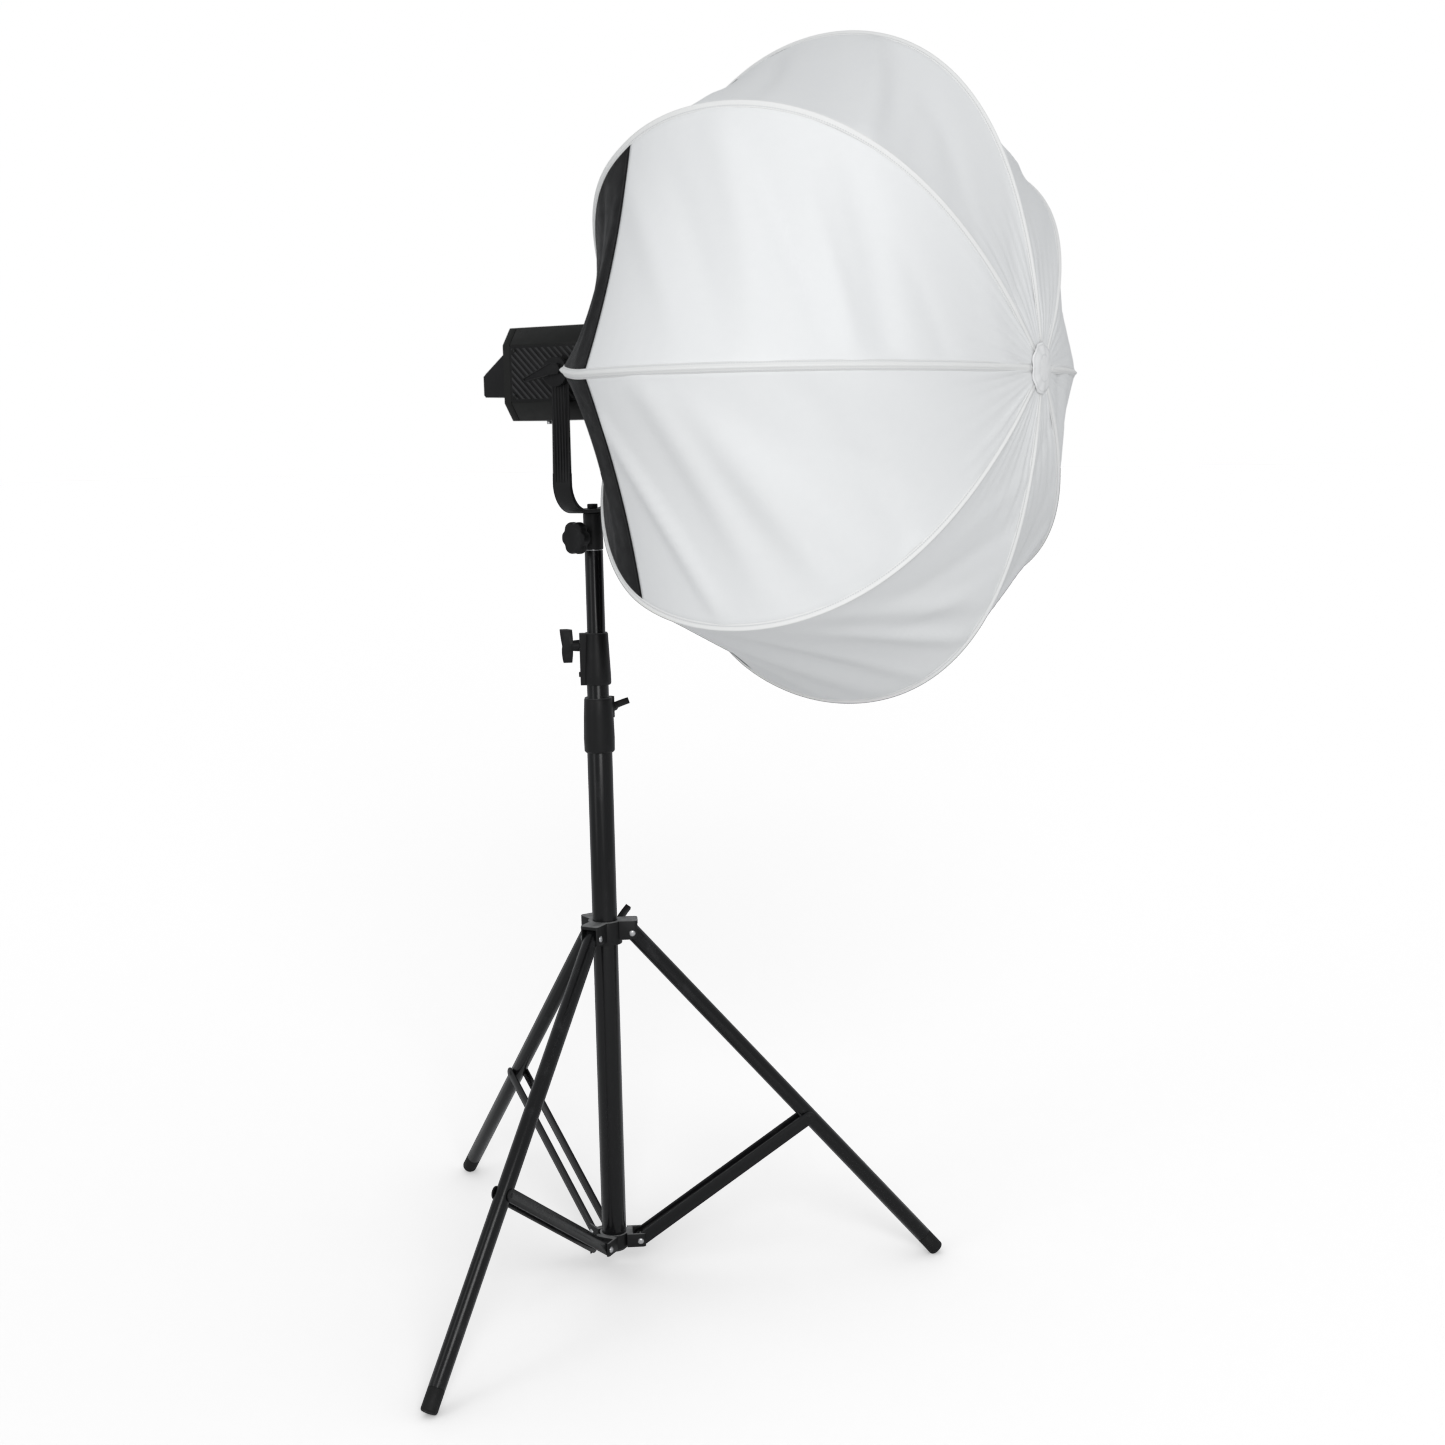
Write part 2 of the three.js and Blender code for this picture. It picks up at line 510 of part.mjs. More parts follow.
function fan() {
  const { middle, halfLength, hub, blades, root, tip, halfChord, pitch } = FAN;
  const blade = block([-0.8, 0.8], [-halfChord, halfChord], [root, tip])
    .rotateZ(rad(pitch)).translate(0, middle, 0);
  const parts = range(0, blades - 1, blades - 1).map((i) => blade.clone().rotateY((2 * Math.PI * i) / blades));
  return join(rod(hub, middle - halfLength, middle + halfLength, 'y', 20), ...parts);
}

function fanFrame() {
  const { half, from, to, bore, bar } = FAN_FRAME;
  const frame = cut(block([-half, half], [from, to], [-half, half]), rod(bore, from - 2, to + BEYOND, 'y', 28));
  const across = block([-half, half], [to - EDGE, to + bar], [-bar, bar]);
  const upright = block([-bar, bar], [to - EDGE, to + bar], [-half, half]);
  return join(frame, across, upright);
}

function sidePanel(sign) {
  const faces = [sign * (BODY.halfWidth + GAP), sign * (BODY.halfWidth + PANEL.thick)].sort((a, b) => a - b);
  const panel = block(faces, [BODY.front + PANEL.front, BODY.rear - PANEL.rear], [-PANEL.half, PANEL.half]);
  const reach = BODY.halfWidth + PANEL.thick + BEYOND;
  return cut(panel, rod(PIVOT.boss + PANEL.gap, -reach, reach, 'x', 24));
}

const LEVER = [[-13, 3], [-9, 11], [2, 12], [46, -7], [47.5, -10], [44, -12], [4, -4.5], [-10, -3]];
const LEVER_DISC = { radius: 19.7, thick: 8, arm: 7 };
const CAP = { radius: 15, end: 13, thick: 7 };
const RELEASE = { half: 8, front: -70, back: -57, height: 5 };
const UMBRELLA_SCREW = { radius: 3.5, length: 5, x: -20, y: 54 };

function tiltLever() {
  const face = YOKE.halfWidth + GAP;
  const outer = face + LEVER_DISC.thick;
  const disc = rod(LEVER_DISC.radius, -outer, -face, 'x', 28);
  const arm = turnAxes(slab(outline(LEVER), -outer - LEVER_DISC.arm, -outer + EDGE), 'y', 'z');
  return join(disc, rod(PIVOT.radius, -face - EDGE, -BODY.halfWidth - PANEL.thick, 'x', 16), arm);
}

function pivotCap() {
  const face = YOKE.halfWidth + GAP;
  const pin = rod(PIVOT.radius, BODY.halfWidth + PANEL.thick, face + EDGE, 'x', 16);
  return join(rod(CAP.radius, face, face + CAP.thick, 'x', 28, CAP.end), pin);
}

function buildLamp() {
  const { body, panel, plastic, steel, fins, led, glass } = MATERIAL;
  const lamp = group(softbox, { at: [0, 0, TILT_HEIGHT] });
  add(lamp, 'lamp_housing', lampHousing(), body);
  add(lamp, 'rear_cover', rearCover(), body);
  add(lamp, 'rear_console', rearConsole(), plastic);
  add(lamp, 'side_panel_left', sidePanel(-1), panel);
  add(lamp, 'side_panel_right', sidePanel(1), panel);
  add(lamp, 'heat_sink', heatSink(), fins);
  add(lamp, 'led_chip', ledChip(), led);
  add(lamp, 'fan_frame', fanFrame(), plastic);
  add(lamp, 'fan', fan(), plastic);
  add(lamp, 'mount_ring', pipe(MOUNT.outer, MOUNT.inner, MOUNT.front, BODY.front - GAP, 'y', 32), steel);
  add(lamp, 'mount_release', block([-RELEASE.half, RELEASE.half], [RELEASE.front, RELEASE.back],
    [BODY.halfHeight + GAP, BODY.halfHeight + RELEASE.height]), plastic);
  const screen = block(DISPLAY.x, [-DISPLAY.half, DISPLAY.half], [GAP, DISPLAY.height]);
  add(lamp, 'display', onSlope(screen), glass);
  add(lamp, 'dial', onSlope(rod(DIAL.radius, GAP, DIAL.height, 'z', 24).translate(DIAL.x, 0, 0)), plastic);
  BUTTON.places.forEach((y, i) => add(lamp, `button_${i + 1}`,
    onSlope(rod(BUTTON.radius, -1.5, BUTTON.height, 'z', 12).translate(BUTTON.x, y, 0)), plastic));
  add(lamp, 'power_inlet', powerInlet(), plastic);
  const { x, z, width, height } = SWITCH;
  add(lamp, 'power_switch', block([x - width / 2, x + width / 2], [CONSOLE.end - 4, CONSOLE.end + 1.5],
    [z - height / 2, z + height / 2]), plastic);
  add(lamp, 'tilt_lever', tiltLever(), plastic);
  add(lamp, 'pivot_cap', pivotCap(), plastic);
  const under = -BODY.halfHeight - GAP;
  const screw = UMBRELLA_SCREW;
  add(lamp, 'umbrella_screw', rod(screw.radius, -BODY.halfHeight - screw.length, under, 'z', 12)
    .translate(screw.x, screw.y, 0), steel);
}

// ---- the softbox: speed ring, bent ribs, front hub, black back and white front ----
function bezier(t) {
  const choose = [1, 4, 6, 4, 1];
  const weight = choose.map((c, i) => c * t ** i * (1 - t) ** (4 - i));
  return [0, 1].map((k) => RIB_CURVE.reduce((sum, point, i) => sum + weight[i] * point[k], 0));
}

// A place on the rib curve, moved towards the inside of the cloth ball.
function ribPoint(t, inward = 0) {
  const step = 1e-4;
  const [a0, r0] = bezier(Math.max(t - step, 0));
  const [a1, r1] = bezier(Math.min(t + step, 1));
  const length = Math.hypot(a1 - a0, r1 - r0);
  const [ahead, radius] = bezier(t);
  return [ahead + (inward * (r1 - r0)) / length, radius - (inward * (a1 - a0)) / length];
}

// The ball of cloth hangs a little below the lamp's axis, more so away from the ring.
function sag(geometry) {
  const place = geometry.attributes.position;
  for (let i = 0; i < place.count; i++) {
    const t = THREE.MathUtils.smoothstep(-place.getY(i) - RIB_CURVE[0][0], 0, SAG.over);
    place.setZ(i, place.getZ(i) - SAG.drop * t);
  }
  return geometry;
}

function cloth(from, to, steps, closed) {
  const outer = range(to, from, steps).map((t) => ribPoint(t));
  const inner = range(from, to, steps).map((t) => ribPoint(t, CLOTH.thick));
  const profile = [...outer, ...inner].map(([ahead, radius]) => [radius, -ahead]);
  if (closed) {
    const front = -outer[0][0] - 1;
    profile.unshift([0, front]);
    profile.push([0, front + CLOTH.thick]);
  } else profile.push(profile[0]);
  return sag(turned(profile, 'y', RIB_COUNT));
}

function rib(index) {
  const turn = (2 * Math.PI * index) / RIB_COUNT;
  const points = range(RIB.from, RIB.to, 24).map((t) => {
    const [ahead, radius] = ribPoint(t, RIB.depth);
    return new THREE.Vector3(-radius * Math.cos(turn), -ahead, radius * Math.sin(turn));
  });
  const corners = range(0, 300, 5).map(rad);
  const section = outline(corners.map((a) => [RIB.radius * Math.cos(a), RIB.radius * Math.sin(a)]));
  const path = new THREE.CatmullRomCurve3(points);
  return sag(new THREE.ExtrudeGeometry(section, { steps: 24, extrudePath: path, bevelEnabled: false }));
}

function speedRing() {
  const ring = pipe(RING.outer, RING.inner, RING.front, RING.back, 'y', 32);
  const lugs = range(0, RIB_COUNT - 1, RIB_COUNT - 1).map((i) => block([RING.outer - 4, RING.outer + 2],
    [RING.front + 1, RING.back - 6], [-5, 5]).rotateY((2 * Math.PI * i) / RIB_COUNT));
  return join(ring, ...lugs);
}

function buildSoftbox() {
  const { casting, steel, white, black } = MATERIAL;
  const ball = group(softbox, { at: [0, 0, TILT_HEIGHT] });
  add(ball, 'speed_ring', speedRing(), casting);
  for (let i = 0; i < RIB_COUNT; i++) add(ball, `rib_${i + 1}`, rib(i), steel);
  const front = -ribPoint(1, RIB.depth)[0];
  add(ball, 'front_hub', sag(rod(FRONT_HUB.radius, front, front + FRONT_HUB.thick, 'y', 24)), casting);
  add(ball, 'black_back', cloth(CLOTH.from, CLOTH.split, 8, false), black);
  add(ball, 'white_front', cloth(CLOTH.split + CLOTH.join, 1, 14, true), white);
}

buildStand();
buildYoke();
buildLamp();
buildSoftbox();

// The origin is on the floor, under the middle of the whole object.
const box = new THREE.Box3().setFromObject(softbox, true);
const centre = box.getCenter(new THREE.Vector3());
softbox.position.set(-centre.x, -centre.y, 0);
softbox.updateMatrixWorld(true);

export default softbox;
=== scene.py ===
"""The looks of a lantern softbox on its lamp head and stand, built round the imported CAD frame.

Metres, +Z up, floor at Z = 0, light leaves towards -Y, as in the frame.
"""
import json
import math
import random

import bmesh
import bpy
import numpy as np
from mathutils import Matrix, Vector


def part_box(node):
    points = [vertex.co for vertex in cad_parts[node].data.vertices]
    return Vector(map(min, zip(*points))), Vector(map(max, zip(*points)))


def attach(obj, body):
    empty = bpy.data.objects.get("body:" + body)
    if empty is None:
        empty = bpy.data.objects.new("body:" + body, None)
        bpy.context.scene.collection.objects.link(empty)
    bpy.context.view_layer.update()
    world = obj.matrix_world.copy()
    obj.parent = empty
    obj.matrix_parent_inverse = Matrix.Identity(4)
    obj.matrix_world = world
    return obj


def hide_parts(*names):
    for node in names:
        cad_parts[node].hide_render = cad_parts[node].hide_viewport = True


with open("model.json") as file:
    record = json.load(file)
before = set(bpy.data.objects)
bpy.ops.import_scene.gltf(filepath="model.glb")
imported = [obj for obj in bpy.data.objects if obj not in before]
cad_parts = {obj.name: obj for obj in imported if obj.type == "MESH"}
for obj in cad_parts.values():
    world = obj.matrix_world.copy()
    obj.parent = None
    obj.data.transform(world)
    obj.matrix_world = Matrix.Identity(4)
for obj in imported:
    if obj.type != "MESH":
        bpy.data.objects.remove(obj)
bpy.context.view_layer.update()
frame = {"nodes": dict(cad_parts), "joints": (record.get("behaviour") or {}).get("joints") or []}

NODES = frame["nodes"]
MM = 0.001
JOINTS = {j["name"]: j for j in frame["joints"]}


# ---- places that the frame gives ----
def middle(node):
    low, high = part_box(node)
    return (low + high) / 2


COLUMN = middle("main_tube")
TILT = Vector(JOINTS["lamp_tilt"]["pos_m"])
BODY_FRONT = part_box("lamp_housing")[0].y
RIBS = 8


# ---- meshes ----
def new_object(name, verts, faces, uvs=None, smooth=True):
    """A mesh object from points, faces and, where a material needs them, one UV per point in metres."""
    mesh = bpy.data.meshes.new(name)
    mesh.from_pydata([tuple(v) for v in verts], [], [tuple(f) for f in faces])
    mesh.polygons.foreach_set("use_smooth", [smooth] * len(mesh.polygons))
    if uvs is not None:
        layer = mesh.uv_layers.new(name="flat")
        loops = np.empty(len(mesh.loops), dtype=np.int32)
        mesh.loops.foreach_get("vertex_index", loops)
        layer.data.foreach_set("uv", np.asarray(uvs, dtype=np.float32)[loops].ravel())
    mesh.update()
    obj = bpy.data.objects.new(name, mesh)
    bpy.context.scene.collection.objects.link(obj)
    return obj


def grid_faces(rows, columns, closed=False):
    faces = []
    wrap = columns if closed else columns - 1
    for i in range(rows - 1):
        for j in range(wrap):
            k = (j + 1) % columns
            faces.append((i * columns + j, i * columns + k, (i + 1) * columns + k, (i + 1) * columns + j))
    return faces


def join_parts(name, parts):
    """One object from several (verts, faces) parts."""
    verts, faces = [], []
    for part_verts, part_faces in parts:
        base = len(verts)
        verts += [Vector(v) for v in part_verts]
        faces += [tuple(base + i for i in face) for face in part_faces]
    return new_object(name, verts, faces)


def placed(part, matrix):
    verts, faces = part
    return [matrix @ Vector(v) for v in verts], faces


def lathe(profile, sides=32):
    """A closed turned shape about local Z, from (radius, height) pairs that run up its outside."""
    verts, faces = [], []
    inner = [p for p in profile if p[0] > 0]
    for r, z in inner:
        for k in range(sides):
            a = 2 * math.pi * k / sides
            verts.append((r * math.cos(a), r * math.sin(a), z))
    faces += grid_faces(len(inner), sides, closed=True)
    low, high = len(verts), len(verts) + 1
    verts += [(0, 0, profile[0][1]), (0, 0, profile[-1][1])]
    last = (len(inner) - 1) * sides
    for k in range(sides):
        faces.append((low, (k + 1) % sides, k))
        faces.append((high, last + k, last + (k + 1) % sides))
    return verts, faces


def ring(inner, outer, low, high, sides=48, edge=0.0004):
    """A closed ring about local Z with small chamfers."""
    e = edge
    loop = [(inner + e, low), (outer - e, low), (outer, low + e), (outer, high - e),
            (outer - e, high), (inner + e, high), (inner, high - e), (inner, low + e)]
    verts = [(r * math.cos(a), r * math.sin(a), z)
             for a in (2 * math.pi * k / sides for k in range(sides)) for r, z in loop]
    count = len(loop)
    faces = [(k * count + i, ((k + 1) % sides) * count + i,
              ((k + 1) % sides) * count + (i + 1) % count, k * count + (i + 1) % count)
             for k in range(sides) for i in range(count)]
    return verts, faces


def prism(outline, low, high, edge=0.0003):
    """A closed prism of a convex outline in local X and Y, with chamfered rims."""
    centre = Vector((sum(p[0] for p in outline) / len(outline), sum(p[1] for p in outline) / len(outline)))

    def loop(inset, z):
        made = []
        for p in outline:
            away = Vector(p) - centre
            length = max(away.length, 1e-9)
            made.append((*(centre + away * (1 - inset / length)), z))
        return made

    levels = [loop(edge, low), loop(0, low + edge), loop(0, high - edge), loop(edge, high)]
    n = len(outline)
    verts = [v for level in levels for v in level]
    faces = grid_faces(len(levels), n, closed=True)
    faces += [tuple(reversed(range(n))), tuple(3 * n + i for i in range(n))]
    return verts, faces


def box_part(low, high, edge=0.0003):
    outline = [(low[0], low[1]), (high[0], low[1]), (high[0], high[1]), (low[0], high[1])]
    return prism(outline, low[2], high[2], edge)


def toward(axis, at=(0, 0, 0)):
    """A transform that takes local Z to an axis and the origin to a place."""
    return Matrix.Translation(Vector(at)) @ Vector(axis).to_track_quat("Z", "Y").to_matrix().to_4x4()


def socket_screw(radius, height):
    """A cap screw's head with a hexagon recess, standing on local Z = 0."""
    depth, flat = 0.55 * height, 0.5 * radius
    sides = 24
    rings = [(radius, 0), (radius, 0.8 * height), (0.88 * radius, height)]
    verts = [(r * math.cos(2 * math.pi * k / sides), r * math.sin(2 * math.pi * k / sides), z)
             for r, z in rings for k in range(sides)]
    faces = grid_faces(len(rings), sides, closed=True)
    faces.append(tuple(reversed(range(sides))))
    base = len(verts)

    def hexagon(k):
        a = 2 * math.pi * k / sides
        within = (a + math.pi / 6) % (math.pi / 3) - math.pi / 6
        r = flat / math.cos(within)
        return r * math.cos(a), r * math.sin(a)

    for z in (height, height - depth):
        verts += [(*hexagon(k), z) for k in range(sides)]
    faces += [(base - sides + k, base - sides + (k + 1) % sides, base + (k + 1) % sides, base + k)
              for k in range(sides)]
    faces += [(base + k, base + (k + 1) % sides, base + sides + (k + 1) % sides, base + sides + k)
              for k in range(sides)]
    faces.append(tuple(base + sides + k for k in range(sides)))
    return verts, faces


def soften(obj, width, angle=35, segments=2):
    """Rounds an object's sharp edges and shades the rest smooth, with modifiers only."""
    obj.data.polygons.foreach_set("use_smooth", [True] * len(obj.data.polygons))
    weld = obj.modifiers.new("weld", "WELD")
    weld.merge_threshold = 0.00001
    if width:
        bevel = obj.modifiers.new("bevel", "BEVEL")
        bevel.width = width
        bevel.segments = segments
        bevel.limit_method = "ANGLE"
        bevel.angle_limit = math.radians(angle)
        bevel.use_clamp_overlap = True
    split = obj.modifiers.new("split", "EDGE_SPLIT")
    split.split_angle = math.radians(40)


def finish_piece(obj, body, material, bevel=None):
    obj.data.materials.clear()
    obj.data.materials.append(material)
    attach(obj, body)
    if bevel is not None:
        soften(obj, bevel)
    return obj


# ---- materials ----
class Graph:
    """A new material's node tree, with short ways to add and link nodes."""

    def __init__(self, name, **sockets):
        self.material = bpy.data.materials.new(name)
        self.material.use_nodes = True
        self.tree = self.material.node_tree
        self.shader = self.tree.nodes["Principled BSDF"]
        for socket, value in sockets.items():
            self.shader.inputs[socket.replace("_", " ")].default_value = value

    def node(self, kind, **inputs):
        made = self.tree.nodes.new(kind)
        for key, value in inputs.items():
            if key in made.inputs:
                self.feed(made.inputs[key], value)
            else:
                setattr(made, key, value)
        return made

    def feed(self, socket, value):
        if isinstance(value, bpy.types.NodeSocket):
            self.tree.links.new(value, socket)
        else:
            socket.default_value = value

    def math(self, operation, a, b=0.0, clamp=False):
        made = self.tree.nodes.new("ShaderNodeMath")
        made.operation = operation
        made.use_clamp = clamp
        self.feed(made.inputs[0], a)
        self.feed(made.inputs[1], b)
        return made.outputs[0]

    def coordinates(self, scale=(1, 1, 1)):
        source = self.node("ShaderNodeTexCoord")
        mapping = self.node("ShaderNodeMapping", Scale=scale)
        self.tree.links.new(source.outputs["Object"], mapping.inputs["Vector"])
        return mapping.outputs["Vector"]

    def noise(self, scale, detail=3.0, stretch=(1, 1, 1), roughness=0.55):
        made = self.node("ShaderNodeTexNoise", Vector=self.coordinates(stretch), Scale=scale,
                         Detail=detail, Roughness=roughness)
        return made.outputs["Fac"]

    def ramp(self, value, low, high, start=0.3, end=0.7):
        made = self.node("ShaderNodeMapRange")
        self.feed(made.inputs["Value"], value)
        for key, number in (("From Min", start), ("From Max", end), ("To Min", low), ("To Max", high)):
            made.inputs[key].default_value = number
        return made.outputs["Result"]

    def mix(self, factor, first, second):
        made = self.tree.nodes.new("ShaderNodeMix")
        made.data_type = "RGBA"
        self.feed(made.inputs["Factor"], factor)
        self.feed(made.inputs[6], (*first, 1) if isinstance(first, tuple) and len(first) == 3 else first)
        self.feed(made.inputs[7], (*second, 1) if isinstance(second, tuple) and len(second) == 3 else second)
        return made.outputs[2]

    def bump(self, height, distance, strength=1.0, after=None):
        made = self.node("ShaderNodeBump", Distance=distance, Strength=strength, Height=height)
        if after is not None:
            self.tree.links.new(after, made.inputs["Normal"])
        return made.outputs["Normal"]

    def wave(self, axis_value, pitch, phase=0.0):
        """A sine between 0 and 1 that repeats every pitch metres."""
        turned = self.math("MULTIPLY", axis_value, 2 * math.pi / pitch)
        swing = self.math("SINE", self.math("ADD", turned, phase))
        return self.math("ADD", self.math("MULTIPLY", swing, 0.5), 0.5)

    def flat(self):
        """The cloth's own flat coordinates, in metres."""
        source = self.node("ShaderNodeUVMap", uv_map="flat")
        split = self.node("ShaderNodeSeparateXYZ")
        self.tree.links.new(source.outputs["UV"], split.inputs[0])
        return split.outputs[0], split.outputs[1]

    def upward(self, start=0.9, end=0.98):
        """1 on faces that look up, 0 elsewhere."""
        source = self.node("ShaderNodeTexCoord")
        split = self.node("ShaderNodeSeparateXYZ")
        self.tree.links.new(source.outputs["Normal"], split.inputs[0])
        return self.ramp(split.outputs[2], 0.0, 1.0, start, end)

    def set(self, socket, value):
        self.feed(self.shader.inputs[socket], value)


def cloth_material(name, colour, shade, roughness, sheen, weave, thread, crease, shine=0.3):
    """Woven cloth: fine crossing threads, slow changes of tone, and small random creases."""
    g = Graph(name, Metallic=0.0, Sheen_Weight=sheen, Sheen_Roughness=0.5, Specular_IOR_Level=shine)
    u, v = g.flat()
    warp, weft = g.wave(u, weave), g.wave(v, weave)
    threads = g.math("MULTIPLY", warp, weft)
    tone = g.noise(4.0, 4.0)
    slub = g.noise(70.0, 5.0)
    mottled = g.mix(g.ramp(tone, 0.0, 1.0), colour, shade)
    darker = tuple(c * 0.985 for c in shade)
    g.set("Base Color", g.mix(g.math("MULTIPLY", g.ramp(slub, 0.0, 1.0), 0.5), mottled, darker))
    g.set("Roughness", g.ramp(slub, roughness - 0.06, roughness + 0.06))
    fine = g.bump(threads, thread, 0.8)
    g.set("Normal", g.bump(g.noise(22.0, 5.0), crease, 0.35, fine))
    return g


def plastic_material(name, colour, roughness, grain=0.00006, metallic=0.0, scuff=0.5, coat=0.0, shine=0.25):
    """Moulded plastic or powder coat: a fine grain, with scuffs that lighten and dull it."""
    g = Graph(name, Metallic=metallic, Coat_Weight=coat, Coat_Roughness=0.15, Specular_IOR_Level=shine)
    wear = g.ramp(g.noise(38.0, 7.0), 0.0, 1.0, 0.52, 0.72)
    light = tuple(min(1.0, c * 1.4 + 0.006) for c in colour)
    g.set("Base Color", g.mix(g.math("MULTIPLY", wear, scuff), colour, light))
    g.set("Roughness", g.math("ADD", g.ramp(g.noise(90.0, 5.0), roughness - 0.07, roughness + 0.07),
                              g.math("MULTIPLY", wear, 0.06)))
    g.set("Normal", g.bump(g.noise(1400.0, 2.0), grain, 0.7))
    return g.material


def tube_material(name, stretch):
    """Black anodised tube: glossy, with fine lengthwise draw lines and rubbed marks."""
    colour, rubbed = (0.005, 0.005, 0.0055), (0.014, 0.014, 0.015)
    g = Graph(name, Metallic=0.0, Specular_IOR_Level=0.32)
    lines = g.noise(500.0, 3.0, stretch)
    marks = g.ramp(g.noise(30.0, 8.0, tuple(0.4 + 0.6 * s for s in stretch)), 0.0, 1.0, 0.58, 0.75)
    g.set("Base Color", g.mix(marks, colour, rubbed))
    g.set("Roughness", g.math("ADD", g.ramp(lines, 0.16, 0.27), g.math("MULTIPLY", marks, 0.12)))
    g.set("Normal", g.bump(lines, 0.00003, 0.5))
    return g.material


def casting_material(name):
    """Black cast metal with a painted highlight: faces that look up are lightened to light grey, in patches.
    """
    black, top_highlight_grey = (0.009, 0.009, 0.0095), (0.30, 0.30, 0.30)
    g = Graph(name, Metallic=0.0, Specular_IOR_Level=0.25)
    grain = g.noise(600.0, 4.0)
    patchy = g.ramp(g.noise(60.0, 6.0), 0.35, 1.0, 0.3, 0.6)
    # painted highlight: faces that look up are mixed towards light grey where the patch noise allows
    painted_top_highlight = g.math("MULTIPLY", g.upward(), patchy)
    g.set("Base Color", g.mix(painted_top_highlight, black, top_highlight_grey))
    g.set("Roughness", g.ramp(grain, 0.36, 0.55))
    g.set("Normal", g.bump(grain, 0.0001, 0.6))
    return g.material


def metal_material(name, colour, roughness, stretch=(1, 1, 1)):
    """Bare metal with fine brushing."""
    g = Graph(name, Metallic=1.0)
    brushed = g.noise(700.0, 3.0, stretch)
    stain = g.noise(45.0, 5.0)
    g.set("Base Color", g.mix(g.ramp(stain, 0.0, 0.6), colour, tuple(c * 0.72 for c in colour)))
    g.set("Roughness", g.ramp(brushed, roughness - 0.08, roughness + 0.1))
    g.set("Normal", g.bump(brushed, 0.00003, 0.5))
    return g.material


def tape_material():
    """White binding tape: a ribbed weave with a row of stitches near each edge."""
    g = Graph("sleeve_tape", Metallic=0.0, Sheen_Weight=0.15, Sheen_Roughness=0.5)
    u, v = g.flat()
    stitch_line, stitch_pitch = 0.0042, 0.0032
    beside = g.math("ABSOLUTE", g.math("SUBTRACT", g.math("ABSOLUTE", u), stitch_line))
    row = g.ramp(beside, 1.0, 0.0, 0.0003, 0.0008)
    thread = g.math("MULTIPLY", row, g.ramp(g.wave(v, stitch_pitch), 0.0, 1.0, 0.25, 0.45))
    weave = g.wave(v, 0.0009)
    g.set("Base Color", g.mix(thread, (0.88, 0.88, 0.87), (0.72, 0.73, 0.74)))
    g.set("Roughness", g.ramp(g.noise(80.0, 4.0), 0.62, 0.75))
    fine = g.bump(weave, 0.00006, 0.6)
    g.set("Normal", g.bump(thread, 0.0004, 0.8, fine))
    return g.material


def patch_material(radius):
    """The round patch over the front hub, stitched in two rings."""
    g = Graph("hub_patch_cloth", Metallic=0.0, Sheen_Weight=0.15, Sheen_Roughness=0.5)
    u, v = g.flat()
    rows = None
    for share in (0.52, 0.9):
        beside = g.math("ABSOLUTE", g.math("SUBTRACT", v, share * radius))
        row = g.ramp(beside, 1.0, 0.0, 0.0003, 0.0008)
        rows = row if rows is None else g.math("ADD", rows, row, clamp=True)
    thread = g.math("MULTIPLY", rows, g.ramp(g.wave(u, 0.0032), 0.0, 1.0, 0.25, 0.45))
    g.set("Base Color", g.mix(thread, (0.9, 0.9, 0.9), (0.82, 0.825, 0.83)))
    g.set("Roughness", g.ramp(g.noise(80.0, 4.0), 0.62, 0.75))
    g.set("Normal", g.bump(thread, 0.0004, 0.8, g.bump(g.noise(900.0, 2.0), 0.00006, 0.6)))
    return g.material


TUBE_UPRIGHT = tube_material("black_tube_upright", (1, 1, 0.03))
TUBE_SLANTED = tube_material("black_tube_slanted", (1, 1, 0.5))
CASTING = casting_material("cast_black")
YOKE_PAINT = plastic_material("yoke_paint", (0.014, 0.014, 0.0145), 0.45, 0.00005, shine=0.2)
PLASTIC = plastic_material("black_plastic", (0.008, 0.008, 0.0085), 0.42)
SOFT_PLASTIC = plastic_material("knob_plastic", (0.007, 0.007, 0.0075), 0.5, 0.0001)
RUBBER = plastic_material("foot_rubber", (0.009, 0.009, 0.009), 0.6, 0.00012)
BODY_PAINT = plastic_material("lamp_body", (0.0085, 0.0088, 0.008), 0.45, 0.00007)
PANEL_PAINT = plastic_material("lamp_panel", (0.006, 0.006, 0.0062), 0.5, 0.00005)
# painted highlight: the ridges get a lighter black than the panel they stand on
RIDGE_HIGHLIGHT = plastic_material("panel_ridge", (0.032, 0.032, 0.033), 0.4, 0.00006)
# painted highlight: a light grey for raised edges, rims and knurls, in place of light caught on those edges
EDGE_HIGHLIGHT_GREY = plastic_material("painted_edge_highlight", (0.06, 0.06, 0.062), 0.4, 0.00003)
# painted highlight: a lighter black for the tilt lever's raised edges, for light caught on them
LEVER_RIM_HIGHLIGHT = plastic_material("lever_rim_highlight", (0.014, 0.014, 0.0145), 0.45, 0.00005)
STEEL = metal_material("bright_steel", (0.62, 0.62, 0.63), 0.24)
SPRING_STEEL = metal_material("spring_steel", (0.36, 0.36, 0.37), 0.3)
FINS = metal_material("bare_aluminium", (0.72, 0.73, 0.75), 0.32, (1, 0.05, 1))
PHOSPHOR = plastic_material("phosphor", (0.8, 0.62, 0.1), 0.45, 0.00002, scuff=0.1)
GLASS = plastic_material("display_glass", (0.004, 0.005, 0.007), 0.1, 0.000004, scuff=0.1, coat=1.0,
                         shine=0.5)
WHITE_CLOTH = cloth_material(
    "white_cloth", (0.895, 0.90, 0.90), (0.885, 0.892, 0.895), roughness=0.7, sheen=0.1,
    weave=0.0009, thread=0.00006, crease=0.00008).material
BLACK_CLOTH = cloth_material(
    "black_cloth", (0.0055, 0.0054, 0.0058), (0.008, 0.0078, 0.0085), roughness=0.46, sheen=0.0,
    weave=0.0009, thread=0.00008, crease=0.0004, shine=0.08).material
TAPE = tape_material()


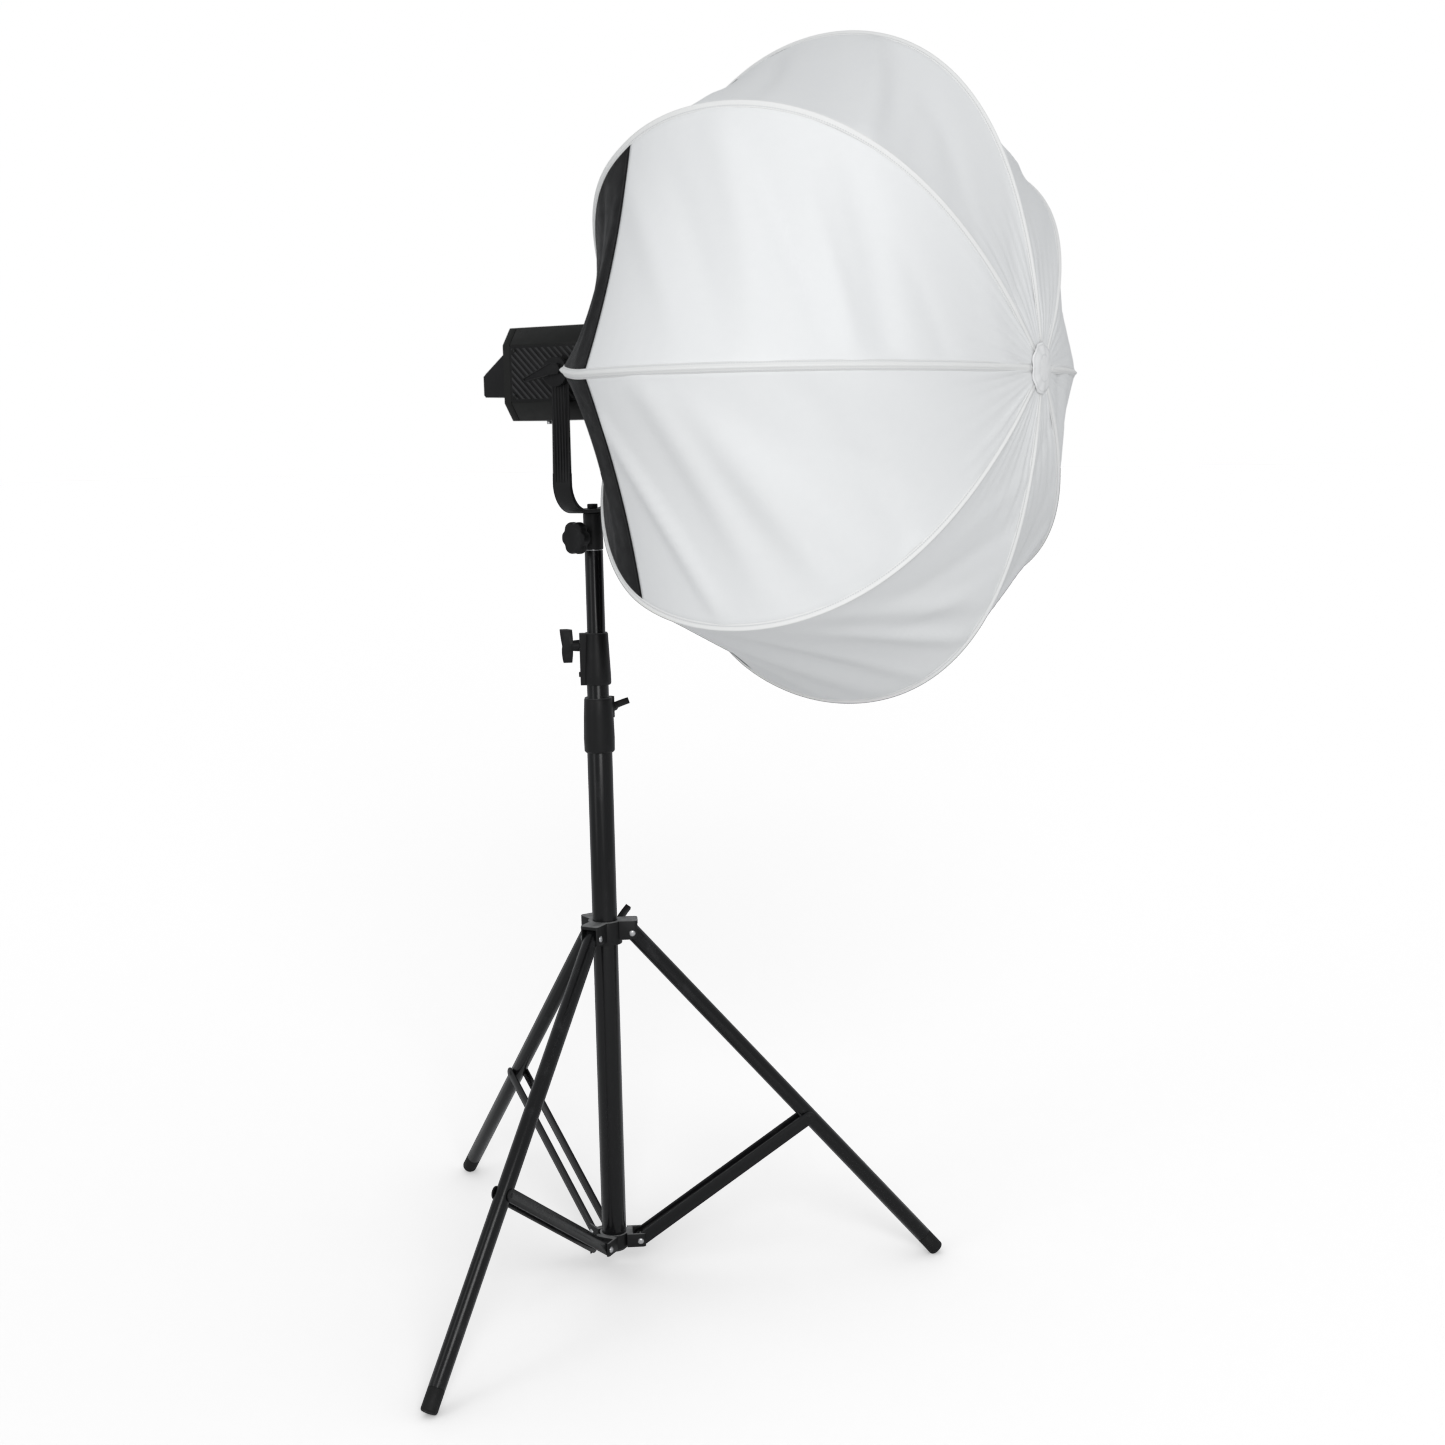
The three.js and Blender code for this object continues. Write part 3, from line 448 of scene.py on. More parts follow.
# ---- camera, floor and lights ----
def place_camera():
    """The camera that was fitted to the photograph, with its place, direction, roll and lens."""
    place = Vector((-2.21132, -1.39123, 1.20875))
    ahead = Vector((0.8561, 0.4958, -0.1460)).normalized()
    roll = math.radians(-1.1775)
    level = ahead.cross(Vector((0, 0, 1))).normalized()
    upright = level.cross(ahead)
    right = level * math.cos(roll) + upright * math.sin(roll)
    up = upright * math.cos(roll) - level * math.sin(roll)
    data = bpy.data.cameras.new("camera")
    data.lens, data.sensor_width = 47.88, 36.0
    data.clip_start, data.clip_end = 0.05, 100.0
    camera = bpy.data.objects.new("camera", data)
    camera.matrix_world = Matrix.Translation(place) @ Matrix((right, up, -ahead)).transposed().to_4x4()
    bpy.context.scene.collection.objects.link(camera)
    bpy.context.scene.camera = camera


def area_light(name, place, size, power, target):
    data = bpy.data.lights.new(name, "AREA")
    data.shape, data.size, data.size_y, data.energy = "RECTANGLE", size[0], size[1], power
    light = bpy.data.objects.new(name, data)
    light.location = place
    light.rotation_euler = (Vector(target) - Vector(place)).to_track_quat("-Z", "Y").to_euler()
    bpy.context.scene.collection.objects.link(light)


def make_stage():
    """A floor that shows only shadows, a backdrop that is white to the camera, and two soft lights."""
    half, around = 60.0, (-1, 0, 1)
    verts = [(x * half, y * half, 0) for y in around for x in around]
    floor = new_object("floor", verts, grid_faces(len(around), len(around)))
    g = Graph("floor_pale", Roughness=0.7)
    g.set("Base Color", g.mix(g.ramp(g.noise(0.8, 2.0), 0.0, 1.0), (0.84, 0.84, 0.84), (0.85, 0.85, 0.85)))
    floor.data.materials.append(g.material)
    floor.is_shadow_catcher = True
    world = bpy.data.worlds.new("studio")
    world.use_nodes = True
    tree = world.node_tree
    soft = tree.nodes["Background"]
    soft.inputs["Color"].default_value = (0.96, 0.98, 1.0, 1)
    soft.inputs["Strength"].default_value = 0.50
    backdrop = tree.nodes.new("ShaderNodeBackground")
    backdrop.inputs["Color"].default_value = (1, 1, 1, 1)
    seen = tree.nodes.new("ShaderNodeLightPath")
    choose = tree.nodes.new("ShaderNodeMixShader")
    tree.links.new(seen.outputs["Is Camera Ray"], choose.inputs["Fac"])
    tree.links.new(soft.outputs[0], choose.inputs[1])
    tree.links.new(backdrop.outputs[0], choose.inputs[2])
    tree.links.new(choose.outputs[0], tree.nodes["World Output"].inputs["Surface"])
    bpy.context.scene.world = world
    bpy.context.scene.view_settings.view_transform = "Standard"
    look_at = (COLUMN.x, COLUMN.y - 0.3, 1.15)
    area_light("key", (-3.0, -2.5, 2.4), (1.8, 2.2), 62, look_at)
    area_light("fill", (-3.2, 1.4, 1.8), (0.9, 2.4), 9, look_at)


# ---- the cloth ball ----
RIB_CURVE = [(0.087, 0.067), (0.139, 0.502), (0.407, 0.435), (0.618, 0.506), (0.659, 0.020)]
CLOTH_FROM, CLOTH_SPLIT = 0.007, 0.32             # places on the rib curve: 0 at the ring, 1 at the hub
SAG_DROP, SAG_OVER = 0.017, 0.160                 # how far the ball hangs, and over what distance it does
BACK_BOW, FRONT_BOW = 0.014, 0.008                # how far the middles of the gores pull in
UNDER_TAPE, TAPE_DIP = 0.0085, 0.0009             # bands dip by this much within this distance of a rib
CLOTH_THICK, TAPE_THICK, BAND_THICK = 0.0005, 0.0005, 0.0006
CHOOSE = (1, 4, 6, 4, 1)                          # weights of a curve with five control points


def rib_curve(t):
    """Distance ahead of the tilt axis, and radius, of the cloth's ridge over a rib."""
    t = np.asarray(t, dtype=float)
    ahead, radius = np.zeros_like(t), np.zeros_like(t)
    for i, (count, (a, r)) in enumerate(zip(CHOOSE, RIB_CURVE)):
        weight = count * t ** i * (1 - t) ** (4 - i)
        ahead += weight * a
        radius += weight * r
    return ahead, radius


def curve_normal(t):
    """The outward direction, ahead and radial, at a place on the rib curve."""
    step = 1e-4
    a0, r0 = rib_curve(np.clip(np.asarray(t) - step, 0, 1))
    a1, r1 = rib_curve(np.clip(np.asarray(t) + step, 0, 1))
    da, dr = a1 - a0, r1 - r0
    length = np.hypot(da, dr)
    return -dr / length, da / length


def sagged(points):
    """Lowers points as the ball of cloth hangs a little below the lamp's axis."""
    share = np.clip((TILT.y - points[:, 1] - RIB_CURVE[0][0]) / SAG_OVER, 0, 1)
    points[:, 2] -= SAG_DROP * share * share * (3 - 2 * share)
    return points


def cloth_points(t, turn, bow, lift):
    """Points of the cloth. turn counts ribs from rib_1 and bow is how far a gore's middle pulls inwards."""
    t, turn, bow, lift = np.broadcast_arrays(*(np.asarray(v, dtype=float) for v in (t, turn, bow, lift)))
    ahead, radius = rib_curve(t)
    out_ahead, out_radial = curve_normal(t)
    gore = np.floor(turn)
    share = turn - gore
    a0, a1 = (2 * math.pi * (gore + k) / RIBS for k in (0, 1))
    x = -radius * ((1 - share) * np.cos(a0) + share * np.cos(a1))
    z = radius * ((1 - share) * np.sin(a0) + share * np.sin(a1))
    middle_angle = 2 * math.pi * turn / RIBS
    push = lift - bow * 4 * share * (1 - share)
    x -= np.cos(middle_angle) * out_radial * push
    z += np.sin(middle_angle) * out_radial * push
    y = -(ahead + out_ahead * push)
    points = np.stack([x + TILT.x, y + TILT.y, z + TILT.z], axis=-1).reshape(-1, 3)
    return sagged(points)


def gore_bow(t):
    """How far the middle of a gore pulls in: most over the black back, little over the white."""
    t = np.asarray(t, dtype=float)
    back = np.exp(-(((t - 0.17) / 0.085) ** 2))
    return BACK_BOW * back + FRONT_BOW * np.sin(math.pi * np.clip(t, 0, 1)) ** 0.7


def arc_lengths(ts):
    ahead, radius = rib_curve(ts)
    return np.concatenate([[0], np.cumsum(np.hypot(np.diff(ahead), np.diff(radius)))])


def chord(t):
    return 2 * rib_curve(t)[1] * math.sin(math.pi / RIBS)


def folds(length_at, across, rng, count, height, lean, reach):
    """Soft folds as long narrow swellings, on a gore's own metres along and across."""
    total = np.zeros_like(across)
    for k in range(count):
        along_0 = reach[0] + (reach[1] - reach[0]) * (k + rng.uniform(0.2, 0.8)) / count
        across_0 = rng.uniform(-0.05, 0.05)
        angle = lean + rng.uniform(-0.12, 0.12)
        half_length, half_width = rng.uniform(0.10, 0.20), rng.uniform(0.012, 0.024)
        along, side = length_at - along_0, across - across_0
        run = along * math.cos(angle) + side * math.sin(angle)
        off = side * math.cos(angle) - along * math.sin(angle) + 0.35 * run * run
        swell = np.exp(-((run / half_length) ** 2) - (off / half_width) ** 2)
        total += rng.choice((-1, 1, 1)) * rng.uniform(0.45, 1.0) * height * swell
    return total


def cloth_sheet(name, start, end, rows, per_gore, shape, thickness):
    """A sheet over all eight gores between two places on the ribs. shape(t, s, share, across, gore) gives
    the bow and the lift of each point."""
    ts = np.linspace(start, end, rows)
    lengths = arc_lengths(ts)
    turns = np.arange(RIBS * per_gore) / per_gore
    grid_t, grid_turn = np.meshgrid(ts, turns, indexing="ij")
    grid_s = np.repeat(lengths[:, None], len(turns), axis=1)
    share = grid_turn - np.floor(grid_turn)
    across = (share - 0.5) * chord(grid_t)
    bow, lift = shape(grid_t, grid_s, share, across, np.floor(grid_turn).astype(int))
    points = cloth_points(grid_t, grid_turn, bow, lift)
    uvs = np.stack([(grid_turn * 0.33).ravel(), grid_s.ravel()], axis=-1)
    obj = new_object(name, points, grid_faces(rows, len(turns), closed=True), uvs)
    solid = obj.modifiers.new("cloth", "SOLIDIFY")
    solid.thickness = thickness
    solid.offset = -1.0
    area = 0.0
    ahead, radius = rib_curve(ts)
    for i in range(rows - 1):
        run = math.hypot(ahead[i + 1] - ahead[i], radius[i + 1] - radius[i])
        area += run * RIBS * (chord(ts[i]) + chord(ts[i + 1])) / 2
    return obj, lengths[-1], float(area)


def edge_fade(share, width=0.1):
    """0 on the ribs, 1 away from them."""
    near = np.minimum(share, 1 - share) / width
    near = np.clip(near, 0, 1)
    return near * near * (3 - 2 * near)


# count, height, lean, and reach along the gore
LONG_FOLDS = (6, 0.0075, -1.1, (0.04, 0.38))
SHALLOW_FOLDS = (3, 0.0026, -0.7, (0.34, 0.60))


def white_shape():
    """Long and shallow folds, fine rays round the front hub, and puckers beside the ribs."""
    rng = random.Random(11)
    ray_height, pucker_height, pucker_pitch = 0.0006, 0.0005, 0.021

    def shape(t, s, share, across, gore):
        bow = gore_bow(t)
        lift = np.zeros_like(t)
        for g in range(RIBS):
            here = gore == g
            lift[here] += folds(s[here], across[here], rng, *LONG_FOLDS)
            lift[here] += folds(s[here], across[here], rng, *SHALLOW_FOLDS)
        near_hub = np.clip(1 - (1 - t) / 0.14, 0, 1)
        rays = np.zeros_like(t)
        for k in range(5):
            strength = rng.uniform(0.5, 1.0)
            rays += strength * np.sin((6 + 3 * k) * math.pi * share + rng.uniform(0, 6) + 1.7 * gore)
        lift += ray_height * rays * near_hub * np.clip((1 - t) / 0.03, 0, 1)
        beside = np.exp(-np.minimum(share, 1 - share) / 0.05)
        pucker = np.sin(s * 2 * math.pi / pucker_pitch + 2.1 * gore) * beside
        lift += pucker_height * pucker * np.clip((1 - t) / 0.1, 0, 1)
        hem = np.clip((t - CLOTH_SPLIT) / 0.01, 0, 1) * np.clip((1 - t) / 0.02, 0, 1)
        return bow, lift * edge_fade(share) * hem

    return shape


def black_shape():
    """Broad folds across the gores, and gathers where the cloth meets the ring."""
    rng = random.Random(5)
    fold_count, fold_heights, gather_height, gathers = 6, (0.002, 0.0045), 0.0012, 6

    def shape(t, s, share, across, gore):
        along = np.clip((t - CLOTH_FROM) / (CLOTH_SPLIT - CLOTH_FROM), 0, 1)
        bow = gore_bow(t) * np.clip(along / 0.08, 0, 1)
        lift = np.zeros_like(t)
        for g in range(RIBS):
            here = gore == g
            for _ in range(fold_count):
                at, width = rng.uniform(0.2, 0.92), rng.uniform(0.03, 0.06)
                drift, reach = rng.uniform(-0.12, 0.12), rng.uniform(0.25, 0.5)
                off = along[here] - at - drift * (share[here] - 0.5)
                fold = np.exp(-((off / width) ** 2) - ((share[here] - rng.uniform(0.35, 0.65)) / reach) ** 2)
                lift[here] += rng.choice((-1, 1)) * rng.uniform(*fold_heights) * fold
        gather = np.sin(share * 2 * math.pi * gathers + gore) * np.exp(-along / 0.18)
        lift += gather_height * gather
        hem = np.clip(along / 0.06, 0, 1) * np.clip((1 - along) / 0.05, 0, 1)
        return bow, lift * edge_fade(share) * hem

    return shape


def tape_piece(index, ts):
    """A sleeve of tape over one rib, raised along its middle where the rib pushes it out."""
    offsets = np.array([-6.0, -5.2, -3.6, -2.6, -1.8, -0.9, 0, 0.9, 1.8, 2.6, 3.6, 5.2, 6.0]) * MM
    flat, ridge, ridge_half, half_width = 0.0006, 0.0022, 0.0022, 0.006
    heights = flat + ridge * np.exp(-((offsets / ridge_half) ** 2))
    heights[[0, -1]] = 0.0002
    lengths = arc_lengths(ts)
    wide = np.maximum(chord(ts), 1e-6)
    verts, uvs = [], []
    for k, offset in enumerate(offsets):
        taper = np.clip(wide / 2.1 / half_width, 0, 1)
        turn = index + offset * taper / wide
        turn = np.where(turn < 0, turn + RIBS, turn)
        low = 1 - 0.6 * np.clip((ts - 0.955) / 0.03, 0, 1)
        verts.append(cloth_points(ts, turn, gore_bow(ts), heights[k] * low))
        uvs.append(np.stack([np.full_like(ts, offset), lengths], axis=-1))
    verts = np.stack(verts, axis=1).reshape(-1, 3)
    uvs = np.stack(uvs, axis=1).reshape(-1, 2)
    tape = new_object(f"sleeve_tape_{index + 1}", verts, grid_faces(len(ts), len(offsets)), uvs)
    solid = tape.modifiers.new("tape", "SOLIDIFY")
    solid.thickness, solid.offset = TAPE_THICK, -1.0
    return tape


def band(name, t, half, height, bow, columns=40, profile_steps=6):
    """A sewn band that runs round the ball at one place on the ribs, and under the tapes."""
    turns = np.arange(RIBS * columns) / columns
    ts, heights = [], []
    for k in range(profile_steps + 1):
        turn = math.pi * k / profile_steps
        ts.append(t - half * math.cos(turn))
        heights.append(0.0002 + height * math.sin(turn))
    share = turns - np.floor(turns)
    beside = np.minimum(share, 1 - share)
    verts, uvs = [], []
    for place, lift in zip(ts, heights):
        pull = float(gore_bow(place)) if bow is None else bow
        lifts = np.where(beside * chord(place) < UNDER_TAPE, -TAPE_DIP, lift)
        verts.append(cloth_points(np.full_like(turns, place), turns, pull, lifts))
        uvs.append(np.stack([np.full_like(turns, place), turns * 0.3], axis=-1))
    obj = new_object(name, np.concatenate(verts), grid_faces(len(ts), len(turns), closed=True),
                     np.concatenate(uvs))
    solid = obj.modifiers.new("band", "SOLIDIFY")
    solid.thickness, solid.offset = BAND_THICK, -1.0
    return obj


def hub_patch():
    """A round patch over the meeting of the ribs, a little crowned, with a rolled edge."""
    radius, sides, rings = 0.031, 96, 14
    crown_height, rim_height = 0.0034, 0.0003
    ahead = rib_curve(1.0)[0] + 0.0014
    verts, uvs = [], []
    for i in range(rings + 1):
        r = radius * (0.02 + 0.98 * i / rings)
        rim = rim_height * math.exp(-(((r - 0.94 * radius) / 0.0012) ** 2))
        crown = crown_height * (1 - (r / radius) ** 2) + rim
        slope_back = max(0.0, r - 0.020) * 0.10
        for k in range(sides):
            a = 2 * math.pi * k / sides
            ripple = 0.0008 * math.cos(RIBS * a) * (r / radius) ** 2
            verts.append((TILT.x - r * math.cos(a), TILT.y - ahead - crown - ripple + slope_back,
                          TILT.z - SAG_DROP + r * math.sin(a)))
            uvs.append((a * radius, r))
    verts.append((TILT.x, TILT.y - ahead - crown_height, TILT.z - SAG_DROP))
    uvs.append((0, 0))
    faces = grid_faces(rings + 1, sides, closed=True)
    faces += [(len(verts) - 1, (k + 1) % sides, k) for k in range(sides)]
    obj = new_object("hub_patch", verts, faces, uvs)
    solid = obj.modifiers.new("patch", "SOLIDIFY")
    solid.thickness, solid.offset = BAND_THICK, -1.0
    return obj, patch_material(radius)


def build_cloth():
    white, white_length, white_area = cloth_sheet("white_front_cloth", CLOTH_SPLIT + 0.001, 0.997, 110, 26,
                                                  white_shape(), CLOTH_THICK)
    black, black_length, black_area = cloth_sheet("black_back_cloth", CLOTH_FROM, CLOTH_SPLIT, 44, 26,
                                                  black_shape(), CLOTH_THICK)
    tapes = [tape_piece(i, np.linspace(CLOTH_FROM, 0.9965, 120)) for i in range(RIBS)]
    patch, patch_cloth = hub_patch()
    seam = band("split_seam", CLOTH_SPLIT - 0.0042, 0.0032, 0.0004, None)
    ring_hem = band("ring_hem", CLOTH_FROM + 0.006, 0.006, 0.0004, 0.0)
    finish_piece(white, "softbox", WHITE_CLOTH)
    finish_piece(black, "softbox", BLACK_CLOTH)
    for tape in tapes:
        finish_piece(tape, "softbox", TAPE)
    finish_piece(patch, "softbox", patch_cloth)
    finish_piece(seam, "softbox", BLACK_CLOTH)
    finish_piece(ring_hem, "softbox", BLACK_CLOTH)
    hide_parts("white_front")
    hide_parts("black_back")


# ---- the CAD nodes that stay, with rounded edges and their own materials ----
def dress_nodes():
    plan = [
        (TUBE_UPRIGHT, 0.0003, ["main_tube", "mid_tube", "top_tube"]),
        (TUBE_SLANTED, 0.0003, [f"leg_{c}" for c in "abc"]),
        (TUBE_SLANTED, 0.0003, [f"brace_{c}_{s}" for c in "abc" for s in ("left", "right")]),
        (RUBBER, 0.0006, [f"foot_{c}" for c in "abc"]),
        (CASTING, 0.0006, ["bottom_hub", "leg_collar"]),
        (YOKE_PAINT, 0.0006, ["yoke_socket", "yoke_strap", "yoke_bolt", "speed_ring", "front_hub"]),
        (PLASTIC, 0.0008, ["lower_clamp_collar", "upper_clamp_collar"]),
        (SOFT_PLASTIC, 0.0009, ["leg_collar_wing_screw", "lower_wing_screw", "upper_tee_screw",
                                "socket_knob"]),
        (STEEL, 0.0004, ["stud", "mount_ring", "umbrella_screw"]),
        (SPRING_STEEL, 0, [f"rib_{i}" for i in range(1, RIBS + 1)]),
        (BODY_PAINT, 0.0012, ["lamp_housing", "rear_cover"]),
        (PANEL_PAINT, 0.0004, ["side_panel_left", "side_panel_right"]),
        (PLASTIC, 0.0010, ["rear_console"]),
        (PLASTIC, 0.0004, ["fan_frame", "fan", "mount_release", "power_inlet", "power_switch"]),
        (SOFT_PLASTIC, 0.0006, ["dial", "button_1", "button_2", "button_3"]),
        (SOFT_PLASTIC, 0.0008, ["tilt_lever", "pivot_cap"]),
        (FINS, 0.0002, ["heat_sink"]),
        (PHOSPHOR, 0.0002, ["led_chip"]),
        (GLASS, 0.0004, ["display"]),
    ]
    for material, bevel, names in plan:
        for name in names:
            node = NODES[name]
            node.data.materials.clear()
            node.data.materials.append(material)
            soften(node, bevel)


# ---- lamp details ----
def clip(polygon, low, high):
    """A convex polygon cut to a rectangle."""
    for axis, bound, sign in ((0, low[0], 1), (0, high[0], -1), (1, low[1], 1), (1, high[1], -1)):
        made = []
        for p, q in zip(polygon, polygon[1:] + polygon[:1]):
            dp, dq = sign * (p[axis] - bound), sign * (q[axis] - bound)
            if dp >= 0:
                made.append(p)
            if dp * dq < 0:
                share = dp / (dp - dq)
                made.append((p[0] + share * (q[0] - p[0]), p[1] + share * (q[1] - p[1])))
        polygon = made
        if len(polygon) < 3:
            return []
    return polygon


def panel_ridges(side):
    """Slanting ridges over a side panel, which stop short of its edges and of the tilt pivot."""
    low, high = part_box(f"side_panel_{side}")
    margin, pitch, width, height = 0.003, 0.0072, 0.0030, 0.0008
    lean, hole = math.radians(45), 0.0215
    rect_low = (low.y + margin, low.z + margin)
    rect_high = (high.y - margin, high.z - margin)
    along = Vector((math.cos(lean), math.sin(lean)))
    across = Vector((-math.sin(lean), math.cos(lean)))
    centre = Vector((TILT.y, TILT.z))
    reach = 0.14
    surface = low.x if side == "left" else high.x
    out = -1 if side == "left" else 1
    parts = []
    for k in range(-18, 19):
        offset = k * pitch
        cuts = [(-reach, reach)]
        if abs(offset) < hole:
            gap = math.sqrt(hole ** 2 - offset ** 2)
            cuts = [(-reach, -gap), (gap, reach)]
        for start, end in cuts:
            corners = []
            for a, b in ((start, -width / 2), (end, -width / 2), (end, width / 2), (start, width / 2)):
                p = centre + along * a + across * (offset + b)
                corners.append((p.x, p.y))
            polygon = clip(corners, rect_low, rect_high)
            if len(polygon) < 3:
                continue
            verts, faces = prism(polygon, -0.0003, height, 0.0004)
            verts = [(surface + out * z, y, x) for y, x, z in verts]
            if out > 0:
                faces = [tuple(reversed(f)) for f in faces]
            parts.append((verts, faces))
    obj = join_parts(f"panel_ridges_{side}", parts)
    fix_normals(obj)
    # the ridges are lighter than the panel as a painted highlight
    finish_piece(obj, "head", RIDGE_HIGHLIGHT)
    obj.data.polygons.foreach_set("use_smooth", [False] * len(obj.data.polygons))


def fix_normals(obj):
    mesh = bmesh.new()
    mesh.from_mesh(obj.data)
    bmesh.ops.recalc_face_normals(mesh, faces=mesh.faces)
    mesh.to_mesh(obj.data)
    mesh.free()


def merged_piece(name, parts, body, material):
    obj = join_parts(name, parts)
    fix_normals(obj)
    return finish_piece(obj, body, material, bevel=0)


def lamp_details():
    panel_ridges("left")
    panel_ridges("right")
    screws = []
    for side, out in (("left", -1), ("right", 1)):
        low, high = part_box(f"side_panel_{side}")
        surface = low.x if out < 0 else high.x
        for y in (low.y + 0.007, high.y - 0.007):
            for z in (low.z + 0.006, high.z - 0.006):
                screws.append(placed(socket_screw(0.0028, 0.0016), toward((out, 0, 0), (surface, y, z))))
    merged_piece("panel_screws", screws, "head", BODY_PAINT)
    low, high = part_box("rear_cover")
    corners = [(sx * 0.046, z) for sx in (-1, 1) for z in (-0.044, 0.044)]
    rear = [placed(socket_screw(0.003, 0.0018), toward((0, 1, 0), (TILT.x + x, high.y, TILT.z + z)))
            for x, z in corners]
    merged_piece("rear_screws", rear, "head", BODY_PAINT)
    trim = ring(0.0492, 0.0530, 0, 0.0020)
    ring_part = placed(trim, toward((0, -1, 0), (TILT.x, BODY_FRONT, TILT.z)))
    # the trim ring is light grey as a painted edge highlight
    merged_piece("mount_trim", [ring_part], "head", EDGE_HIGHLIGHT_GREY)
    display_frame()
    console_trim()


def slope_frame():
    """The middle of the console's sloping face with its directions across, down the slope, and out."""
    axis = Vector(JOINTS["dial_turn"]["axis"]).normalized()
    down = Vector((0, axis.z, -axis.y))
    pos = Vector(JOINTS["dial_turn"]["pos_m"]) - axis * 0.004
    pos.x = TILT.x
    return pos, Vector((1, 0, 0)), down, axis


def display_frame():
    """A raised bezel round the display, and a knurled skirt round the dial, both light grey as a painted edge
    highlight.
    """
    pos, across, down, out = slope_frame()
    parts = []
    x0, x1, y0, y1, bar = -0.0225, 0.0185, -0.0145, 0.0145, 0.0015
    for low, high in (((x0, y0, 0), (x1, y0 + bar, 0.0034)), ((x0, y1 - bar, 0), (x1, y1, 0.0034)),
                      ((x0, y0, 0), (x0 + bar, y1, 0.0034)), ((x1 - bar, y0, 0), (x1, y1, 0.0034))):
        verts, faces = box_part(low, high, 0.0004)
        parts.append(([pos + across * v[0] + down * v[1] + out * v[2] for v in verts], faces))
    merged_piece("display_bezel", parts, "head", EDGE_HIGHLIGHT_GREY)
    centre = Vector(JOINTS["dial_turn"]["pos_m"]) - out * 0.004
    knurls = []
    count, radius = 30, 0.0085
    for k in range(count):
        a = 2 * math.pi * k / count
        spot = centre + (across * math.cos(a) + down * math.sin(a)) * radius + out * 0.0012
        knurls.append(placed(lathe([(0, 0), (0.0006, 0), (0.0006, 0.0062), (0.0003, 0.0067), (0, 0.0067)], 8),
                             toward(out, spot)))
    knurls.append(placed(box_part((-0.0004, 0.002, 0), (0.0004, 0.0075, 0.0004), 0.0001),
                         toward(out, centre + out * 0.00895)))
    merged_piece("dial_grip", knurls, "dial_knob", EDGE_HIGHLIGHT_GREY)


def console_trim():
    """A lip along the console's two sloping edges, light grey as a painted edge highlight, and its fastening
    screws.
    """
    pos, across, down, out = slope_frame()
    low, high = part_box("rear_console")
    parts = []
    half = (high.x - low.x) / 2
    for sx in (-1, 1):
        verts, faces = box_part((-0.0012, -0.026, -0.0004), (0.0012, 0.026, 0.0010), 0.0004)
        at = pos + across * (sx * (half - 0.0026))
        parts.append(([at + across * v[0] + down * v[1] + out * v[2] for v in verts], faces))
    merged_piece("console_lip", parts, "head", EDGE_HIGHLIGHT_GREY)
    screws = [placed(socket_screw(0.0022, 0.0013), toward((0, 1, 0), (TILT.x + x, high.y, low.z + 0.006)))
              for x in (-0.034, 0.034)]
    merged_piece("console_screws", screws, "head", BODY_PAINT)


def stand_details():
    """Rivets on the collar and hub, ridges on the yoke, and rims on the clamp collars, light grey as a
    painted edge highlight.
    """
    rivets = []
    head = [(0, 0), (0.0046, 0), (0.0044, 0.0007), (0.0034, 0.0014), (0.0018, 0.0018), (0, 0.0019)]
    for name in ("a", "b", "c"):
        for joint, half in ((f"leg_{name}_fold", 0.0153), (f"brace_{name}_fold", 0.0172)):
            at = Vector(JOINTS[joint]["pos_m"])
            axis = Vector(JOINTS[joint]["axis"]).normalized()
            for sign in (-1, 1):
                dome = lathe(head, 20)
                rivets.append((joint, placed(dome, toward(axis * sign, at + axis * sign * (half - 0.0006)))))
    for piece, start, body in (("collar_rivets", "leg", "collar"), ("hub_rivets", "brace", "column")):
        parts = [part for joint, part in rivets if joint.startswith(start)]
        merged_piece(piece, parts, body, STEEL)
    ridges = []
    low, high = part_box("yoke_strap")
    top, bottom = TILT.z - 0.016, TILT.z - 0.148
    for sx in (-1, 1):
        x = low.x if sx < 0 else high.x
        for k in (-2, -1, 0, 1, 2):
            y = TILT.y + k * 0.0046
            verts, faces = box_part((-0.0009, bottom, -0.0003), (0.0009, top, 0.0006), 0.0003)
            ridges.append(([(x + sx * v[2], y + v[0], v[1]) for v in verts], faces))
    merged_piece("yoke_ridges", ridges, "yoke", YOKE_PAINT)
    for name, node, body, radius in (("lower_clamp_rim", "lower_clamp_collar", "column", 0.0190),
                                     ("upper_clamp_rim", "upper_clamp_collar", "mid_section", 0.0156)):
        top_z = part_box(node)[1].z
        rim = ring(radius - 0.0024, radius, -0.0003, 0.0008)
        part = placed(rim, toward((0, 0, 1), (COLUMN.x, COLUMN.y, top_z)))
        merged_piece(name, [part], body, EDGE_HIGHLIGHT_GREY)


